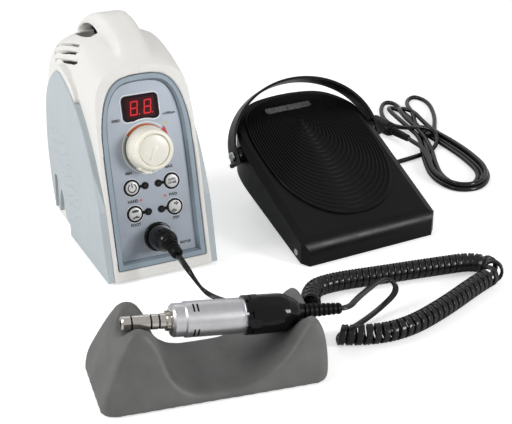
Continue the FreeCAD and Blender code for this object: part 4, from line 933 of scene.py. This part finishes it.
# A place whose Z runs along the line and whose X lies across the cable
def sectionPlace(point, along, across):
    side = (across - along * across.dot(along)).normalized()
    return basis(point, side, along.cross(side), along)


springs = {"centres": [(123.81, -11.69), (171.72, -8.84)], "radius": 6.0, "wire": 0.7, "low": 4.7, "high": 34.3,
           "turns": 6, "perTurn": 24, "anchor": (0.1478, -0.0103, 0.004), "keep": 0.74}


# The return springs, coils of wire between two heights
def makeSprings():
    bm = bmesh.new()
    steps = springs["turns"] * springs["perTurn"]
    for x, y in springs["centres"]:
        line = []
        for i in range(steps + 1):
            turn = 2 * math.pi * i / springs["perTurn"]
            spot = (x + springs["radius"] * math.cos(turn), y + springs["radius"] * math.sin(turn))
            line.append(Vector((*spot, springs["low"] + (springs["high"] - springs["low"]) * i / steps)))
        circle = bmesh.ops.create_circle(bm, segments=10, radius=springs["wire"])["verts"]
        ring = [e for e in bm.edges if all(v in circle for v in e.verts)]
        sweep(bm, ring, [sectionPlace(p, w, Vector((0, 0, 1))) for p, w in zip(line, directions(line))])
    piece = finishPiece("springCoils", bm, Matrix.Identity(4), slotOf["return_springs"], replaced=["return_springs"])
    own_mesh(piece)


makeSprings()
coil = {"radius": 5.85, "backPitch": 4.75, "looseAt": (0.47, 0.56), "loosePitch": 8.2, "frontPitch": 5.5, "looseGrow": 1.0,
        "perTurn": 20}
coilRoute = [(70.7, -165.3, 7.2), (77.5, -149.5, 7.2), (97, -145.6, 7.2), (134, -151.2, 7.2), (178.2, -157.4, 7.2),
             (207, -162, 7.2), (211, -183, 7.2), (187.9, -191.3, 7.2), (150, -209, 7.2), (113, -222, 7.2),
             (84, -219.4, 7.2), (68.4, -210.6, 7.2)]


# The curly cord's line, wound round its route, and the route's direction at each point
def coilTurns():
    axis = evenly(smoothLine(coilRoute, 24), 0.25)
    ways = directions(axis)
    total = lengthOf(axis)
    phase = [0.0]
    for i in range(1, len(axis)):
        share = i / (len(axis) - 1)
        low, high = coil["looseAt"]
        if share < low:
            pitch = coil["backPitch"]
        else:
            pitch = coil["loosePitch"] if share < high else coil["frontPitch"]
        phase.append(phase[-1] + total / (len(axis) - 1) / pitch)
    turns = round(phase[-1])
    phase = [p * turns / phase[-1] for p in phase]
    line, across, at = [], [], 0
    up = Vector((0, 0, 1))
    steps = turns * coil["perTurn"]
    for k in range(steps + 1):
        wanted = turns * k / steps
        while at < len(phase) - 2 and phase[at + 1] < wanted:
            at += 1
        part = (wanted - phase[at]) / max(phase[at + 1] - phase[at], 1e-9)
        centre = axis[at].lerp(axis[at + 1], part)
        along = ways[at].lerp(ways[at + 1], part).normalized()
        share = (at + part) / (len(axis) - 1)
        low, high = coil["looseAt"]
        loose = max(0.0, 1 - abs(2 * (share - low) / (high - low) - 1))
        reach = coil["radius"] + coil["looseGrow"] * loose
        angle = 2 * math.pi * wanted
        side = along.cross(up)
        centre = centre + up * coil["looseGrow"] * loose
        line.append(centre - up * (reach * math.cos(angle)) + side * (reach * math.sin(angle)))
        across.append(along)
    return line, across, turns


# A lead that lies flat and turns on to the coil's first turn at its end
def flatLead(points, last, lastWay, lastAcross):
    line = evenly(smoothLine(points[:-1] + [last - lastWay * 7, last], 12), 1.2)
    ways = directions(line)
    ways[-1] = lastWay
    across = []
    previous = None
    for i, way in enumerate(ways):
        flat = way.cross(Vector((0, 0, 1)))
        if flat.length < 0.15 and previous is not None:
            flat = previous
        flat.normalize()
        if previous is not None and flat.dot(previous) < 0:
            flat = -flat
        flat = (previous * 0.7 + flat * 0.3).normalized() if previous is not None else flat
        previous = flat.copy()
        across.append(flat)
    if across[-1].dot(lastAcross) < 0:
        lastAcross = -lastAcross
    for i in range(len(across)):
        near = max(0.0, 1 - (len(across) - 1 - i) * 1.2 / 16)
        ease = near * near * (3 - 2 * near)
        across[i] = across[i].lerp(lastAcross, ease).normalized()
    return line, ways, across


def cableMesh(line, ways, across):
    bm = bmesh.new()
    ring = twinRing(bm)
    sweep(bm, ring, [sectionPlace(p, w, a) for p, w, a in zip(line, ways, across)])
    for vert in bm.verts:
        vert.co.z = max(vert.co.z, 0)
    return bm


plugTip = panelPlace @ (Vector((*plug["centre"], plug["bend"])) + Matrix.Rotation(plug["droop"], 3, "X")
                        @ Vector((0, 0, plug["boot"])))
panelLeadRoute = [plugTip, (0.4, -112.5, 27), (7.4, -115.5, 13.5), (14.4, -115.5, 2.7), (22, -132, 2.7), (40, -145.5, 2.7),
                  (60, -151.6, 2.7), (71, -161.5, 4.6)]
reliefTip = nosePlace @ Vector((0, 0, 142.5))
reliefWay = (nosePlace.to_3x3() @ Vector((0, 0, 1))).normalized()
handpieceLeadRoute = [reliefTip, reliefTip + reliefWay * 6, (80, -210, 30.6), (98, -194, 25.5), (112, -181.5, 21),
                      (127, -171, 17), (131.5, -180.5, 10.5), (108, -190, 4), (88, -198.5, 2.7), (74, -203, 2.7),
                      (69.5, -209, 5)]


def motorCord():
    helix, along, turns = coilTurns()
    ways = directions(helix)
    coilPiece = finishPiece("curlyCord", cableMesh(helix, ways, along), Matrix.Identity(4), "cord",
                            replaced=["curly_cord"], smooth=60)
    lead, leadWays, leadAcross = flatLead(panelLeadRoute, helix[0], ways[0], along[0])
    panelPiece = finishPiece("panelLead", cableMesh(lead, leadWays, leadAcross), Matrix.Identity(4), "cord",
                             replaced=["panel_lead"], smooth=60)
    tail, tailWays, tailAcross = flatLead(handpieceLeadRoute, helix[-1], -ways[-1], along[-1])
    tailPiece = finishPiece("handpieceLead", cableMesh(tail, tailWays, tailAcross), Matrix.Identity(4), "cord",
                            body=None, replaced=["handpiece_lead"], smooth=60)
    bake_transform(tailPiece)
    print("motor cord:", turns, "turns,", round(lengthOf(helix)), "mm wound,", round(lengthOf(lead)), "and",
          round(lengthOf(tail)), "mm of lead")


motorCord()

pedalCord = {"diameter": 4.0, "low": 2.1, "high": 5.7, "over": 9.4}
grommetTip = pedalPlace @ Vector((44.0, 116.0, 6.5))
leadRoute = [grommetTip, (222, 13.5, 4.6), (245, 24.6, 2.1), (272, 28.6, 2.1), (296, 35, 2.1), (310, 50, 5.0),
             (311, 62, 9.6), (303, 74, 8.6), (296, 86, 4.0), (291, 104, 2.1), (298, 131, 2.1), (316, 156, 2.1),
             (325, 146, 2.1), (313, 112, 2.1), (311, 84, 2.1)]
hankTurn = [(315, 40), (314, 6), (308, -26), (288, -46), (270, -42), (267, -16), (278, 12), (293, 42)]
hankPlan = [
    {"spread": 0.0, "z": 2.1, "in": (313, 66, 2.1), "out": (305, 66, 2.1)},
    {"spread": 4.3, "z": 2.1, "in": (317, 66, 2.1), "out": (301, 66, 2.1)},
    {"spread": -4.3, "z": 2.1, "in": (309, 66, 2.1), "out": (303, 66, 5.7)},
    {"spread": 2.2, "z": 5.8, "in": (315, 66, 5.7), "out": None},
]
topLoops = [
    [(311, 90, 3.0), (322, 112, 5.6), (333, 144, 2.1), (350, 158, 2.1), (355, 138, 2.1), (341, 104, 2.1), (324, 78, 2.1)],
    [(300, 92, 5.7), (304, 122, 5.7), (311, 139, 3.0), (319, 132, 2.1), (317, 106, 2.1), (312, 84, 2.1)],
    [(304, 92, 9.0), (308, 114, 9.4), (317, 126, 6.0), (324, 114, 5.7), (319, 92, 5.7)],
]


def hankPoints():
    points = []
    for turn, top in zip(hankPlan, topLoops + [None]):
        points.append(turn["in"])
        for i, place in enumerate(hankTurn):
            before = hankTurn[max(i - 1, 0)]
            after = hankTurn[min(i + 1, len(hankTurn) - 1)]
            run = Vector((after[0] - before[0], after[1] - before[1])).normalized()
            out = Vector((-run.y, run.x)) * turn["spread"]
            points.append((place[0] + out.x, place[1] + out.y, turn["z"]))
        if turn["out"]:
            points.append(turn["out"])
        if top:
            points += top
    points[-1] = (285.0, 36.0, 6.4)
    points += [(283.6, 48.0, 6.6), (283.94, 57.4, 6.6)]
    return points


def pedalLead():
    route = [Vector(p) for p in leadRoute + hankPoints()]
    data = bpy.data.curves.new("pedalCord", "CURVE")
    data.dimensions = "3D"
    spline = data.splines.new("NURBS")
    spline.points.add(len(route) - 1)
    for point, place in zip(spline.points, route):
        point.co = (*(place * 0.001), 1)
    spline.order_u = 3
    spline.use_endpoint_u = True
    spline.resolution_u = 10
    data.bevel_depth = pedalCord["diameter"] / 2000
    data.bevel_resolution = 4
    data.use_fill_caps = True
    piece = bpy.data.objects.new("pedalCord", data)
    bpy.context.scene.collection.objects.link(piece)
    data.materials.append(finishes["cord"])
    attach(piece, fixedBody)
    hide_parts("pedal_cord", "cord_hank")
    length = lengthOf(smoothLine(route, 12)) * 0.001
    print("pedal cord", round(length, 3), "m")


pedalLead()
print("cords")
